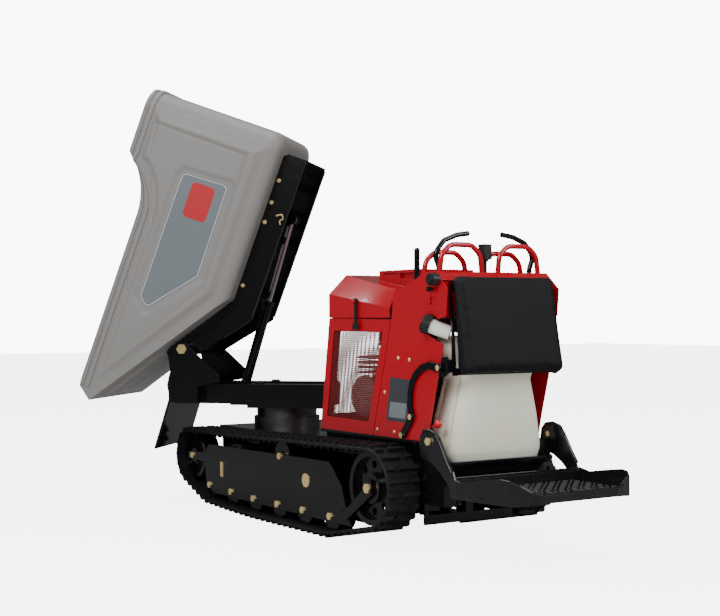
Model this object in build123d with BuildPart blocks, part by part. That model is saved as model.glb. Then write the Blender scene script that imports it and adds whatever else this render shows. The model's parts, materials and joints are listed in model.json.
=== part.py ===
from build123d import *
from math import atan2, cos, degrees, hypot, radians, sin, sqrt
import os

# Tracked power wheelbarrow with a tub that swivels and dumps, in millimetres.
# Machine axes: x to the rear from the drive wheel axle, y to the right from the centre plane, z up from the ground.
os.makedirs("parts", exist_ok=True)

# ---------- driving dimensions ----------
origin_x, origin_y = -782, -261  # middle of the footprint at rest, which is the origin that the parts are written in
gap = 0.3  # running clearance between curved faces on different bodies
fit = 0.05  # radial clearance of a shaft in its bore
contact = 0.5  # clearance between flat faces that slide or swing past each other

track_width = 890  # over the belts
belt_width = 158
belt_thickness = 28
drive_x, drive_z, drive_radius = 0, 250, 155
idler_x, idler_z, idler_radius = -1685, 246, 121
roller_radius, roller_width = 64, 84
first_roller_x, roller_pitch, roller_count = -1490, 231.5, 6
roller_lift = (19, 8)  # how far the two front rollers stand above the others
carrier_x, carrier_radius = -771, 70
track_plate = 8  # side plate thickness of a track frame
outer_plate_y, inner_plate_y = 405, 300  # inner faces of the track frame plates
bolt_radius = 12

frame_half = 262  # outer face of the main beams
deck_top, deck_front, deck_rear = 400, -1640, -600
bay_floor_top, bay_rear, frame_rear = 452, 140, 300
shelf_z = (366, 376)  # the shelf under the fluid tank

swivel_x = -1420
swivel_rest = 45  # degrees to the left
ring_radius, ring_bore, ring_height = 170, 90, 50
base_plate_top, rail_top = 520, 620
rail_inner, rail_outer = 120, 190
rail_front, rail_rear = 545, -240
bracket_inner, bracket_plate = 256, 8

pivot_ahead, pivot_z = 482, 801  # tub pivot, ahead of the slewing axis
pivot_radius = 20
dump_rest = 70  # degrees that the tub is tipped at rest
cradle_half = 200  # middle of the cradle side plates
cradle_plate = 8
cradle_depth = 122
tub_floor = -158  # tub floor, from the pivot height
tub_rear, tub_knee, tub_lip = -1200, -325, 400  # ahead of the pivot
tub_lip_z, tub_rim_front, tub_rim_rear = 345, 416, 558
tub_floor_half, tub_rim_half, tub_wall = 330, 388, 8
tub_corner = 100

cylinder_radius, cylinder_rod = 25, 14
cylinder_pin = 12.5
cylinder_base = (228, 600)  # ahead of the slewing axis, and height
cylinder_eye = (-805, -254)  # ahead of and above the tub pivot
barrel_length, rod_length = 465, 500

cowl_half, cowl_sheet = 296, 4
pad_half_top, pad_half_bottom = 267, 262
platform_pivot_x, platform_pivot_z, platform_half = 283, 460, 325

pivot_x = swivel_x - pivot_ahead


# ---------- placing ----------
to_origin = Location((-origin_x, -origin_y, 0))
swivelled = Location((swivel_x, 0, 0)) * Location((0, 0, 0), (0, 0, 1), swivel_rest) * Location((-swivel_x, 0, 0))
tipped = Location((pivot_x, 0, pivot_z)) * Location((0, 0, 0), (0, 1, 0), -dump_rest) * Location((-pivot_x, 0, -pivot_z))
dumped = swivelled * tipped
straight = Location((0, 0, 0))


def write(part, node, place=straight):
    """Puts a finished piece in its place at rest and writes it under its own name."""
    placed = part.moved(to_origin * place)
    placed.label = node
    export_step(placed, f"parts/{node}.step")


# ---------- shapes that repeat ----------
def span(side, near, far):
    """The y range from near to far on one side of the centre plane, side being -1 for left."""
    return sorted((side * near, side * far))


def plate(outline, y, mode=Mode.ADD):
    """A plate standing along the machine: its outline in (x, z), and its two y faces."""
    with BuildSketch(Plane.XZ.offset(-y[1])) as face:
        Polygon(*outline, align=None)
    extrude(face.sketch, amount=y[1] - y[0], dir=(0, -1, 0), mode=mode)


def block(x, y, z, mode=Mode.ADD):
    """A box given by its three ranges."""
    with Locations(((x[0] + x[1]) / 2, (y[0] + y[1]) / 2, (z[0] + z[1]) / 2)):
        Box(x[1] - x[0], y[1] - y[0], z[1] - z[0], mode=mode)


def rod(start, end, radius, mode=Mode.ADD):
    """A round bar or hole between two points."""
    axis = Vector(*end) - Vector(*start)
    with BuildSketch(Plane(origin=start, z_dir=axis)) as section:
        Circle(radius)
    extrude(section.sketch, amount=axis.length, dir=axis.normalized(), mode=mode)


def across(x, z, y, radius, mode=Mode.ADD):
    """A round bar or hole running across the machine."""
    rod((x, y[0], z), (x, y[1], z), radius, mode)


def bent_rod(points, bend, radius, mode=Mode.ADD):
    """A round bar along straight runs that are joined by bends."""
    with BuildLine() as path:
        FilletPolyline(*points, radius=bend)
    with BuildSketch(Plane(origin=path.line @ 0, z_dir=path.line % 0)) as section:
        Circle(radius)
    sweep(section.sketch, path=path.line, mode=mode)


def hexagon(x, z, y, radius):
    """A hexagon bolt head or nut on an axis across the machine."""
    with BuildSketch(Plane.XZ.offset(-y[1])) as face:
        with Locations((x, z)):
            RegularPolygon(radius, 6)
    extrude(face.sketch, amount=y[1] - y[0], dir=(0, -1, 0))


def ahead(distance):
    """Machine x of a point that lies this far ahead of the slewing axis when the tub faces forwards."""
    return swivel_x - distance


def tub_point(forward, up):
    """Machine (x, z) of a point given from the tub pivot, with the tub lowered and facing forwards."""
    return pivot_x - forward, pivot_z + up


def tub_outline(*points):
    return [tub_point(*p) for p in points]


def ring(radius, bore, z):
    """A flat ring about the slewing axis."""
    rod((swivel_x, 0, z[0]), (swivel_x, 0, z[1]), radius)
    rod((swivel_x, 0, z[0]), (swivel_x, 0, z[1]), bore, Mode.SUBTRACT)


# ---------- main frame ----------
with BuildPart() as main_frame:
    block((deck_front, deck_rear), (-280, 280), (deck_top - 16, deck_top))
    for side in (-1, 1):
        block((deck_front, bay_rear), span(side, 200, frame_half), (190, deck_top - 16))
        block((bay_rear, frame_rear), span(side, 200, frame_half), (190, shelf_z[0]))
        block((deck_rear, bay_rear), span(side, 200, frame_half), (deck_top - 16, bay_floor_top - 12))
        for x in (-1300, -560):
            block((x, x + 110), span(side, frame_half, inner_plate_y), (190, 260))
        block((245, frame_rear), span(side, frame_half, 300), (shelf_z[0] - 26, 440))
        plate([(240, 400), (330, 400), (330, 450), (310, 498), (256, 498), (240, 470)], span(side, 300, 316))
        across(platform_pivot_x, platform_pivot_z, span(side, 299, 317), bolt_radius + fit, Mode.SUBTRACT)
    block((deck_rear, bay_rear), (-cowl_half, cowl_half), (bay_floor_top - 12, bay_floor_top))
    for x in (deck_front, -1000, -330):
        block((x, x + 50), (-200, 200), (190, deck_top - 16))
    block((230, frame_rear), (-200, 200), (320, shelf_z[0]))
    block((bay_rear, 345), (-255, 255), shelf_z)
    for side in (-1, 1):
        block((110, 118), span(side, 150, 200), (150, 260))
        block((60, 118), span(side, 200, 208), (150, 190))
    block((118, 126), (-235, 235), (95, 205))
    for side in (-1, 1):
        block((117, 127), span(side, 20, 212), (135, 183), Mode.SUBTRACT)
    for side in (-1, 1):
        across(drive_x, drive_z, span(side, 190, 270), 40 + contact, Mode.SUBTRACT)
write(main_frame.part, "main_frame")

with BuildPart() as slew_ring_lower:
    ring(ring_radius, ring_bore, (deck_top, deck_top + ring_height))
write(slew_ring_lower.part, "slew_ring_lower")


# ---------- tracks ----------
roller_outer = roller_radius + belt_thickness + gap
roller_spots = [
    (first_roller_x + i * roller_pitch, roller_outer + (roller_lift[i] if i < len(roller_lift) else 0))
    for i in range(roller_count)
]
loop_circles = [
    (idler_x, idler_z, idler_radius),
    *[(*spot, roller_radius) for spot in roller_spots],
    (drive_x, drive_z, drive_radius),
]


def belt_loop(y, grow, mode=Mode.ADD):
    """The loop of a belt round its wheels, standing off them by grow."""
    with BuildSketch(Plane.XZ.offset(-y[1])) as loop:
        for x, z, radius in loop_circles:
            with Locations((x, z)):
                Circle(radius + grow)
        make_hull()
    extrude(loop.sketch, amount=y[1] - y[0], dir=(0, -1, 0), mode=mode)


def top_run_z(x):
    """Height of the inner face of the belt's top run."""
    slope = (drive_z + drive_radius - idler_z - idler_radius) / (drive_x - idler_x)
    return idler_z + idler_radius + gap + (x - idler_x) * slope


carrier_z = top_run_z(carrier_x) - carrier_radius - gap
belt_inner_y = track_width / 2 - belt_width
roller_y = (316, 316 + roller_width)
wheel_y = (308, 424)

for name, side in (("left", -1), ("right", 1)):
    with BuildPart() as track_belt:
        belt_loop(span(side, belt_inner_y, track_width / 2), gap + belt_thickness)
        belt_loop(span(side, belt_inner_y, track_width / 2), gap, Mode.SUBTRACT)
    write(track_belt.part, f"track_belt_{name}")

    with BuildPart() as track_frame:
        for y in ((outer_plate_y, outer_plate_y + track_plate), (inner_plate_y, inner_plate_y + track_plate)):
            plate(
                [(-1530, 120), (-1440, 74), (-160, 68), (-205, 150), (-238, 232), (-300, 296), (-340, 330),
                 (-1500, 317), (-1548, 270), (-1740, 262), (-1740, 228), (-1545, 222)],
                span(side, *y),
            )
            across(drive_x, drive_z, span(side, y[0] - 1, y[1] + 1), drive_radius + 6, Mode.SUBTRACT)
        block((-1450, -350), span(side, inner_plate_y + track_plate, outer_plate_y), (168, 232))
        plate(
            [(-235, 96), (-170, 96), (28, 226), (22, 284), (-22, 284), (-32, 246)],
            span(side, 427, 434),
        )
        block((-235, -180), span(side, outer_plate_y + track_plate, 427), (96, 130))
        across(drive_x, drive_z, span(side, 426, 435), pivot_radius + fit, Mode.SUBTRACT)
        for x, z in (*roller_spots, (carrier_x, carrier_z), (idler_x, idler_z)):
            across(x, z, span(side, inner_plate_y - 1, outer_plate_y + track_plate + 1), bolt_radius + fit, Mode.SUBTRACT)
    write(track_frame.part, f"track_frame_{name}")

    for n, (x, z) in enumerate(roller_spots, 1):
        with BuildPart() as road_roller:
            across(x, z, span(side, *roller_y), roller_radius)
            across(x, z, span(side, roller_y[0] + 28, roller_y[1] - 28), roller_radius + 5, Mode.SUBTRACT)
            across(x, z, span(side, roller_y[0] + 28, roller_y[1] - 28), roller_radius - 14)
            across(x, z, span(side, roller_y[0] - 7, roller_y[0]), 22)
            across(x, z, span(side, roller_y[1], roller_y[1] + 4), 22)
            across(x, z, span(side, roller_y[0] - 8, roller_y[1] + 8), bolt_radius + fit, Mode.SUBTRACT)
        write(road_roller.part, f"road_roller_{name}_{n}")

    with BuildPart() as carrier_roller:
        across(carrier_x, carrier_z, span(side, *roller_y), carrier_radius)
        across(carrier_x, carrier_z, span(side, roller_y[0] - 7, roller_y[0]), 22)
        across(carrier_x, carrier_z, span(side, roller_y[1], roller_y[1] + 4), 22)
        across(carrier_x, carrier_z, span(side, roller_y[0] - 8, roller_y[1] + 8), bolt_radius + fit, Mode.SUBTRACT)
    write(carrier_roller.part, f"carrier_roller_{name}")

    with BuildPart() as front_idler:
        across(idler_x, idler_z, span(side, roller_y[0], roller_y[1]), idler_radius)
        across(idler_x, idler_z, span(side, roller_y[1] - 30, roller_y[1]), idler_radius - 22, Mode.SUBTRACT)
        across(idler_x, idler_z, span(side, roller_y[0], roller_y[0] + 30), idler_radius - 22, Mode.SUBTRACT)
        across(idler_x, idler_z, span(side, roller_y[0] - 7, roller_y[1] + 4), 36)
        across(idler_x, idler_z, span(side, roller_y[0] - 8, roller_y[1] + 8), bolt_radius + fit, Mode.SUBTRACT)
    write(front_idler.part, f"front_idler_{name}")

    with BuildPart() as drive_wheel:
        across(drive_x, drive_z, span(side, *wheel_y), drive_radius)
        across(drive_x, drive_z, span(side, wheel_y[0] + 92, wheel_y[1]), drive_radius - 24, Mode.SUBTRACT)
        across(drive_x, drive_z, span(side, wheel_y[0], wheel_y[0] + 80), drive_radius - 24, Mode.SUBTRACT)
        across(drive_x, drive_z, span(side, wheel_y[0] + 80, wheel_y[1] - 4), 64)
        across(drive_x, drive_z, span(side, wheel_y[0] + 20, wheel_y[1]), pivot_radius + fit, Mode.SUBTRACT)
        with BuildSketch(Plane.XZ) as spoke_holes:
            with Locations((drive_x, drive_z)):
                with PolarLocations(98, 8):
                    Circle(17)
        extrude(spoke_holes.sketch, amount=track_width / 2, dir=(0, side, 0), mode=Mode.SUBTRACT)
    write(drive_wheel.part, f"drive_wheel_{name}")

with BuildPart() as wheel_motors:
    for side in (-1, 1):
        across(drive_x, drive_z, span(side, 170, frame_half), 40)
        across(drive_x, drive_z, span(side, frame_half + contact, wheel_y[0] + 60), 62)
        across(drive_x, drive_z, span(side, frame_half, frame_half + contact), 38)
        across(drive_x, drive_z, span(side, wheel_y[0] + 60, 436), pivot_radius)
write(wheel_motors.part, "wheel_motors")

with BuildPart() as axle_bolts:
    for side in (-1, 1):
        for x, z in (*roller_spots, (carrier_x, carrier_z), (idler_x, idler_z)):
            across(x, z, span(side, inner_plate_y - 6, outer_plate_y + track_plate), bolt_radius)
            hexagon(x, z, span(side, outer_plate_y + track_plate, outer_plate_y + track_plate + 8), 17)
        hexagon(drive_x, drive_z, span(side, 436, 444), 22)
        across(-534, 229, span(side, outer_plate_y + track_plate, outer_plate_y + track_plate + 4), 31)
        block((-1365, -1341), span(side, outer_plate_y + track_plate, outer_plate_y + track_plate + 5), (165, 240))
        across(platform_pivot_x, platform_pivot_z, span(side, 298, platform_half + 2), bolt_radius)
        hexagon(platform_pivot_x, platform_pivot_z, span(side, platform_half + 2, platform_half + 11), 17)
write(axle_bolts.part, "axle_bolts")


# ---------- swivelling frame, made facing forwards ----------
pivot_span = (-bracket_inner - bracket_plate - 8, bracket_inner + bracket_plate + 8)

with BuildPart() as slew_ring_upper:
    ring(ring_radius - 15, ring_bore, (deck_top + ring_height + contact, base_plate_top - 22))
write(slew_ring_upper.part, "slew_ring_upper", swivelled)

with BuildPart() as swivel_frame:
    block((ahead(160), ahead(rail_rear)), (-rail_outer, rail_outer), (base_plate_top - 22, base_plate_top))
    for side in (-1, 1):
        block((ahead(rail_front), ahead(rail_rear)), span(side, rail_inner, rail_outer), (base_plate_top, rail_top))
        bracket = span(side, bracket_inner, bracket_inner + bracket_plate)
        plate(
            [(ahead(a), z) for a, z in ((283, 664), (283, 632), (398, 612), (398, 528), (545, 528), (563, 617),
                                        (546, 687), (553, 746), (563, 788), (538, 820), (455, 820))],
            bracket,
        )
        block((ahead(545), ahead(400)), span(side, rail_outer, bracket_inner), (528, 540))
        block((ahead(408), ahead(400)), span(side, rail_outer, bracket_inner), (540, 612))
        across(ahead(pivot_ahead), pivot_z, span(side, bracket_inner - 1, bracket_inner + 10), pivot_radius + fit, Mode.SUBTRACT)
        base_x, base_z = ahead(cylinder_base[0]), cylinder_base[1]
        ear = span(side, 36, 46)
        plate([(base_x - 45, 520), (base_x + 45, 520), (base_x + 34, base_z), (base_x - 34, base_z)], ear)
        across(base_x, base_z, ear, 34)
    block((ahead(545), ahead(535)), (-bracket_inner, bracket_inner), (528, 640))
    block((base_x - 45, base_x + 45), (-rail_inner, rail_inner), (base_plate_top - 12, base_plate_top))
    across(base_x, base_z, (-60, 60), cylinder_pin + fit, Mode.SUBTRACT)
    for side in (-1, 1):
        block((ahead(120), ahead(85)), span(side, 135, 175), (rail_top, rail_top + 9))
write(swivel_frame.part, "swivel_frame", swivelled)

with BuildPart() as front_flap:
    plate(
        [(ahead(a), z) for a, z in ((545 + gap, 622), (557, 622), (557, 545), (636, 290), (624, 290), (545 + gap, 540))],
        (-bracket_inner, bracket_inner),
    )
write(front_flap.part, "front_flap", swivelled)

with BuildPart() as pivot_pins:
    across(ahead(pivot_ahead), pivot_z, pivot_span, pivot_radius)
    for side in (-1, 1):
        hexagon(ahead(pivot_ahead), pivot_z, span(side, bracket_inner + bracket_plate + 0.5, bracket_inner + bracket_plate + 10), 27)
    across(ahead(cylinder_base[0]), cylinder_base[1], (-52, 52), cylinder_pin)
write(pivot_pins.part, "pivot_pins", swivelled)


# ---------- tub, made lowered and facing forwards ----------
def tub_block(inset, reach=0):
    """The tub's outer form, drawn in by inset, as the side outline cut to the flare of the side walls."""
    slope = atan2(tub_lip_z - tub_floor, tub_lip - tub_knee)
    knee = inset * (1 - cos(slope)) / sin(slope)
    rise = tub_rim_rear - tub_rim_front
    arc_radius = 370
    arc_run = sqrt(arc_radius**2 - (arc_radius - rise) ** 2)
    notch = -571
    with BuildSketch(Plane.XZ.offset(-tub_rim_half - 20)) as profile:
        with BuildLine():
            low = [
                tub_point(notch - arc_run, tub_rim_rear + reach),
                tub_point(tub_rear + inset, tub_rim_rear + reach),
                tub_point(tub_rear + inset, tub_floor + inset),
                tub_point(tub_knee - knee, tub_floor + inset),
                tub_point(tub_lip - inset * (1 + sin(slope)) / cos(slope) * 0.6, tub_lip_z + inset * 0.45),
                tub_point(tub_lip - 55 - inset * 1.2, tub_rim_front + reach),
                tub_point(notch, tub_rim_front + reach),
            ]
            Polyline(*low)
            RadiusArc(low[-1], low[0], -arc_radius)
        make_face()
    extrude(profile.sketch, amount=2 * tub_rim_half + 40, dir=(0, -1, 0))
    section_z = (pivot_z + tub_floor, pivot_z + tub_rim_rear + reach + 1)
    flare = (tub_rim_half - tub_floor_half) / (tub_rim_rear - tub_floor)
    top_half = tub_floor_half + flare * (section_z[1] - section_z[0]) - inset
    with BuildSketch(Plane.YZ.offset(pivot_x - tub_lip - 50)) as section:
        Polygon(
            (-tub_floor_half + inset, section_z[0]),
            (tub_floor_half - inset, section_z[0]),
            (top_half, section_z[1]),
            (-top_half, section_z[1]),
            align=None,
        )
    extrude(section.sketch, amount=tub_lip - tub_rear + 100, dir=(1, 0, 0), mode=Mode.INTERSECT)


with BuildPart() as tub_outer:
    tub_block(0)
    upright = tub_outer.edges().filter_by(lambda e: e.bounding_box().size.Z > 500 and e.bounding_box().size.X < 5)
    fillet(upright, tub_corner)
    low_edges = tub_outer.edges().filter_by(lambda e: e.bounding_box().max.Z < pivot_z + tub_floor + 1)
    fillet(low_edges, 60)
with BuildPart() as tub_inner:
    tub_block(tub_wall, 40)
    upright = tub_inner.edges().filter_by(lambda e: e.bounding_box().size.Z > 500 and e.bounding_box().size.X < 5)
    fillet(upright, tub_corner - tub_wall)
    low_edges = tub_inner.edges().filter_by(lambda e: e.bounding_box().max.Z < pivot_z + tub_floor + tub_wall + 1)
    fillet(low_edges, 60 - tub_wall)
with BuildPart() as tub_shell:
    add(tub_outer.part)
    add(tub_inner.part, mode=Mode.SUBTRACT)
write(tub_shell.part, "tub_shell", dumped)

cradle_top = tub_floor - 1
cradle_low = cradle_top - cradle_depth
cradle_side = (cradle_half - cradle_plate / 2, cradle_half + cradle_plate / 2)
clevis_forward, clevis_up = cylinder_eye

with BuildPart() as tub_cradle:
    for side in (-1, 1):
        plate(
            tub_outline((-1095, cradle_top), (tub_knee, cradle_top), (4, 66), (50, 24), (48, -30), (-9, -79),
                        (-254, cradle_low), (-1113, cradle_low), (-1113, cradle_top - 22)),
            span(side, *cradle_side),
        )
        across(pivot_x, pivot_z, span(side, *cradle_side), 52)
        block(
            (pivot_x + 275, pivot_x + 1100), span(side, cradle_side[1], cradle_side[1] + 20),
            (pivot_z + cradle_low, pivot_z + cradle_low + 6),
        )
        ear = span(side, 30, 38)
        plate(
            tub_outline((clevis_forward - 42, cradle_top - 12), (clevis_forward + 42, cradle_top - 12),
                        (clevis_forward + 30, clevis_up), (clevis_forward - 30, clevis_up)),
            ear,
        )
        across(*tub_point(clevis_forward, clevis_up), ear, 30)
        across(*tub_point(clevis_forward, clevis_up), span(side, 38, 60), cylinder_pin)
    for forward in (-1000, -700, -400):
        block(
            (pivot_x - forward - 40, pivot_x - forward), (-cradle_side[0], cradle_side[0]),
            (pivot_z + cradle_top - 11, pivot_z + cradle_top),
        )
    block(
        (pivot_x - clevis_forward - 45, pivot_x - clevis_forward + 45), (-cradle_side[0], cradle_side[0]),
        (pivot_z + cradle_top - 12, pivot_z + cradle_top),
    )
    block(
        (pivot_x + 1105, pivot_x + 1113), (-cradle_side[0], cradle_side[0]),
        (pivot_z + cradle_low, pivot_z + cradle_top - 22),
    )
    across(pivot_x, pivot_z, (-bracket_inner + contact, bracket_inner - contact), 34)
    across(pivot_x, pivot_z, (-bracket_inner, bracket_inner), pivot_radius + fit, Mode.SUBTRACT)
write(tub_cradle.part, "tub_cradle", dumped)

with BuildPart() as cradle_bolts:
    for side in (-1, 1):
        for forward in (-971, -854, -749, -408):
            x, z = tub_point(forward, cradle_top - 20)
            hexagon(x, z, span(side, cradle_side[1], cradle_side[1] + 8), 11)
        hook = [tub_point(f, u) for f, u in ((-800, -228), (-815, -252), (-795, -268), (-780, -250), (-762, -262))]
        bent_rod([(x, side * (cradle_side[1] + 6), z) for x, z in hook], 7, 4)
        rod(
            (hook[0][0], side * cradle_side[1], hook[0][1]), (hook[0][0], side * (cradle_side[1] + 6), hook[0][1]), 4,
        )
write(cradle_bolts.part, "cradle_bolts", dumped)


# ---------- lift cylinder, made in its place at rest ----------
def dumped_point(forward, up):
    """A tub point (x, z) with the tub tipped and facing forwards."""
    a = radians(dump_rest)
    return pivot_x - forward * cos(a) - up * sin(a), pivot_z - forward * sin(a) + up * cos(a)


base_x, base_z = ahead(cylinder_base[0]), cylinder_base[1]
eye_x, eye_z = dumped_point(*cylinder_eye)
reach = hypot(eye_x - base_x, eye_z - base_z)
along = ((eye_x - base_x) / reach, (eye_z - base_z) / reach)


def stroke_point(distance):
    """A point on the cylinder's axis this far from its base pin."""
    return base_x + along[0] * distance, 0, base_z + along[1] * distance


with BuildPart() as lift_cylinder:
    rod(stroke_point(20), stroke_point(barrel_length), cylinder_radius)
    rod(stroke_point(barrel_length - 24), stroke_point(barrel_length), cylinder_radius + 5)
    across(base_x, base_z, (-34, 34), 28)
    across(base_x, base_z, (-34, 34), cylinder_pin + fit, Mode.SUBTRACT)
    rod(stroke_point(40), stroke_point(barrel_length + 1), cylinder_rod + fit, Mode.SUBTRACT)
write(lift_cylinder.part, "lift_cylinder", swivelled)

with BuildPart() as lift_rod:
    rod(stroke_point(reach - rod_length), stroke_point(reach - 20), cylinder_rod)
    across(eye_x, eye_z, (-26, 26), 24)
    across(eye_x, eye_z, (-27, 27), cylinder_pin + 1, Mode.SUBTRACT)
write(lift_rod.part, "lift_rod", swivelled)


# ---------- engine cowl ----------
cowl_y = (cowl_half - cowl_sheet - 2, cowl_half - 2)
panel = [(deck_rear, bay_floor_top), (-524, 956), (-30, 950), (-170, bay_floor_top)]
window = [(-545, 512), (-484, 900), (-92, 896), (-206, 506)]
latch_x, latch_pin_z = -285, 1030
hood_hinges = (-430, -140)
hinge_y, hinge_z = cowl_half + 9, 957


def cowl_front(z, depth):
    """A point on the cowl's leaning front at this height, this far behind its outer face."""
    (foot_x, foot_z), (head_x, head_z) = panel[:2]
    return foot_x + (z - foot_z) * (head_x - foot_x) / (head_z - foot_z) + depth, z


with BuildPart() as cowl_frame:
    for side in (-1, 1):
        plate(panel, span(side, *cowl_y))
        plate(window, span(side, cowl_y[0] - 1, cowl_y[1] + 1), Mode.SUBTRACT)
        block((latch_x - 16, latch_x + 16), span(side, cowl_y[1], cowl_y[1] + 9), (908, 926))
    plate([panel[0], panel[1], cowl_front(956, cowl_sheet), cowl_front(bay_floor_top, cowl_sheet)], (-cowl_y[0], cowl_y[0]))
    plate(
        [cowl_front(520, -9), cowl_front(900, -9), cowl_front(900, 9), cowl_front(520, 9)], (-230, 230), Mode.SUBTRACT,
    )
    for x in hood_hinges:
        block((x - 16, x + 16), (cowl_y[1], hinge_y), (hinge_z - 6, hinge_z))
        rod((x - 16, hinge_y, hinge_z), (x + 16, hinge_y, hinge_z), 6)
        rod((x - 17, hinge_y, hinge_z), (x + 17, hinge_y, hinge_z), 3 + fit, Mode.SUBTRACT)
write(cowl_frame.part, "cowl_frame")

with BuildPart() as cowl_mesh:
    for side in (-1, 1):
        with BuildSketch(Plane.XZ.offset(-side * (cowl_y[0] if side > 0 else cowl_y[0] - 2))) as screen:
            Polygon(*window, align=None)
            offset(amount=14, kind=Kind.INTERSECTION)
        extrude(screen.sketch, amount=2, dir=(0, -1, 0))
    depth = (cowl_sheet, cowl_sheet + 2)
    plate(
        [cowl_front(508, depth[0]), cowl_front(905, depth[0]), cowl_front(905, depth[1]), cowl_front(508, depth[1])],
        (-242, 242),
    )
write(cowl_mesh.part, "cowl_mesh")

hood_front, hood_rear, hood_base = -520, -34, 957
hood_half = cowl_half + 2


def hood_form(inset):
    """The hood's outer or inner form, lofted from its front section to its rear section."""
    sections = []
    for x, crease, top_half, top in ((hood_front + inset, 1064, 205, 1152), (hood_rear, 998, 262, 1076)):
        with BuildSketch(Plane.YZ.offset(x)) as section:
            half = hood_half - inset
            Polygon(
                (-half, hood_base - (inset > 0)), (half, hood_base - (inset > 0)), (half, crease - inset * 0.4),
                (top_half - inset * 0.4, top - inset), (-top_half + inset * 0.4, top - inset), (-half, crease - inset * 0.4),
                align=None,
            )
        sections.append(section.sketch.face())
    loft(sections, ruled=True)


with BuildPart() as hood_outer:
    hood_form(0)
with BuildPart() as hood_inner:
    hood_form(4)
with BuildPart() as hood:
    add(hood_outer.part)
    block((-330, hood_rear), (-150, 150), (1080, 1166))
    add(hood_inner.part, mode=Mode.SUBTRACT)
    block((-310, -54), (-138, 138), (1155, 1170), Mode.SUBTRACT)
    for side in (-1, 1):
        block((-300, -190), span(side, 136, 152), (1148, 1154), Mode.SUBTRACT)
        block((-170, -64), span(side, 136, 152), (1128, 1152), Mode.SUBTRACT)
    across(latch_x, latch_pin_z, (-hood_half - 17, -hood_half + 2), 5)
    across(latch_x, latch_pin_z, (-hood_half - 20, -hood_half - 17), 8)
    for x in hood_hinges:
        rod((x - 20, hinge_y, hinge_z), (x + 20, hinge_y, hinge_z), 3)
        for near in (x - 20, x + 17):
            block((near, near + 3), (hood_half - 1, hinge_y + 3), (hinge_z - 3, hinge_z + 9))
write(hood.part, "hood")

with BuildPart() as hood_latch:
    y = (-hood_half - 12, -hood_half - 6)
    plate(
        [(latch_x - 8, latch_pin_z + 12), (latch_x + 8, latch_pin_z + 12), (latch_x + 7, 935), (latch_x + 22, 930),
         (latch_x + 22, 905), (latch_x - 22, 905), (latch_x - 22, 930), (latch_x - 7, 935)],
        y,
    )
    across(latch_x, latch_pin_z, (-hood_half - 16.5, -hood_half - 0.5), 11)
    across(latch_x, latch_pin_z, (-hood_half - 17, -hood_half + 1), 5 + fit, Mode.SUBTRACT)
write(hood_latch.part, "hood_latch")

with BuildPart() as engine:
    block((-450, -150), (-150, 150), (bay_floor_top, 478))
    block((-430, -190), (-120, 130), (478, 700))
    rod((-310, 0, 700), (-310, 0, 790), 130)
    rod((-310, 0, 790), (-310, 0, 830), 100)
    for side in (-1, 1):
        block((-400, -230), span(side, 110, 225), (560, 660))
        block((-390, -240), span(side, 225, 240), (570, 650))
    for z in (720, 745, 770):
        rod((-310, 0, z), (-310, 0, z + 8), 138)
write(engine.part, "engine")

with BuildPart() as air_filter:
    block((-420, -200), (-100, 100), (830, 900))
    block((-400, -220), (-80, 80), (900, 920))
    fillet(air_filter.edges().filter_by(Axis.Z), 18)
write(air_filter.part, "air_filter")

with BuildPart() as muffler:
    rod((-140, -170, 640), (-140, 170, 640), 48)
    block((-190, -170), (-20, 20), (625, 655))
    bent_rod([(-140, 60, 684), (-140, 60, 760), (-140, 150, 800)], 30, 14)
write(muffler.part, "muffler")

with BuildPart() as hydraulic_pump:
    block((-60, 90), (-90, 90), (bay_floor_top, 610))
    rod((-150, 0, 535), (-60, 0, 535), 45)
    rod((15, 0, 610), (15, 0, 660), 30)
    for y in (-50, 50):
        bent_rod([(40, y, 605), (40, y, 700), (110, y, 700)], 40, 11)
write(hydraulic_pump.part, "hydraulic_pump")


# ---------- control tower ----------
tower_y = (cowl_y[0], cowl_y[1])
tower = [(-166, bay_floor_top), (-26, 950), (-12, 1061), (224, 1140), (287, 1144), (367, 1075), (356, 962),
         (300, 950), (254, 905), (282, 866), (338, 852), (330, 800), (311, 747), (256, 551), (232, bay_floor_top)]
dash_top = [(-12, 1061), (224, 1140), (287, 1144), (330, 1107)]
lever_shaft_x, lever_shaft_z = 238, 1112
throttle_x, throttle_y, throttle_z = 50, -215, 1052
choke_x, choke_z = 299, 1110
key_x, key_z = 267, 1072
brake_x, brake_z = 200, 500
shaft_radius = 6

neck_axis = Vector(-0.66, -0.66, 0.36).normalized()
neck_foot = Vector(325, -237, 890)
cap_foot = neck_foot + neck_axis * 95
cap_radius = 40


def neck_point(base, distance):
    """A point on the filler neck's axis, this far beyond a point on it."""
    point = base + neck_axis * distance
    return point.X, point.Y, point.Z


with BuildPart() as tower_shell:
    for side in (-1, 1):
        plate(tower, span(side, *tower_y))
        for x, z in ((25, 788), (105, 782), (-77, 641), (-135, 478), (-7, 476), (52, 468)):
            across(x, z, span(side, 270, 300), 5.5, Mode.SUBTRACT)
    block((251, 291), (-300, -285), (1008, 1040), Mode.SUBTRACT)
    plate([(-13, 1053), (-26, 950), (-22, 950), (-9, 1053)], (-tower_y[0], tower_y[0]))
    block((326, 330), (-tower_y[0], tower_y[0]), (958, 1100))
    across(key_x, key_z, (-300, -270), 6.5 + fit, Mode.SUBTRACT)
    across(choke_x, choke_z, (-300, -270), shaft_radius + fit, Mode.SUBTRACT)
    rod(neck_point(neck_foot, 40), neck_point(cap_foot, 60), cap_radius + 3, Mode.SUBTRACT)
    across(brake_x, brake_z, (-tower_y[0], -tower_y[0] + 15), 4)
write(tower_shell.part, "tower_shell")

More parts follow.
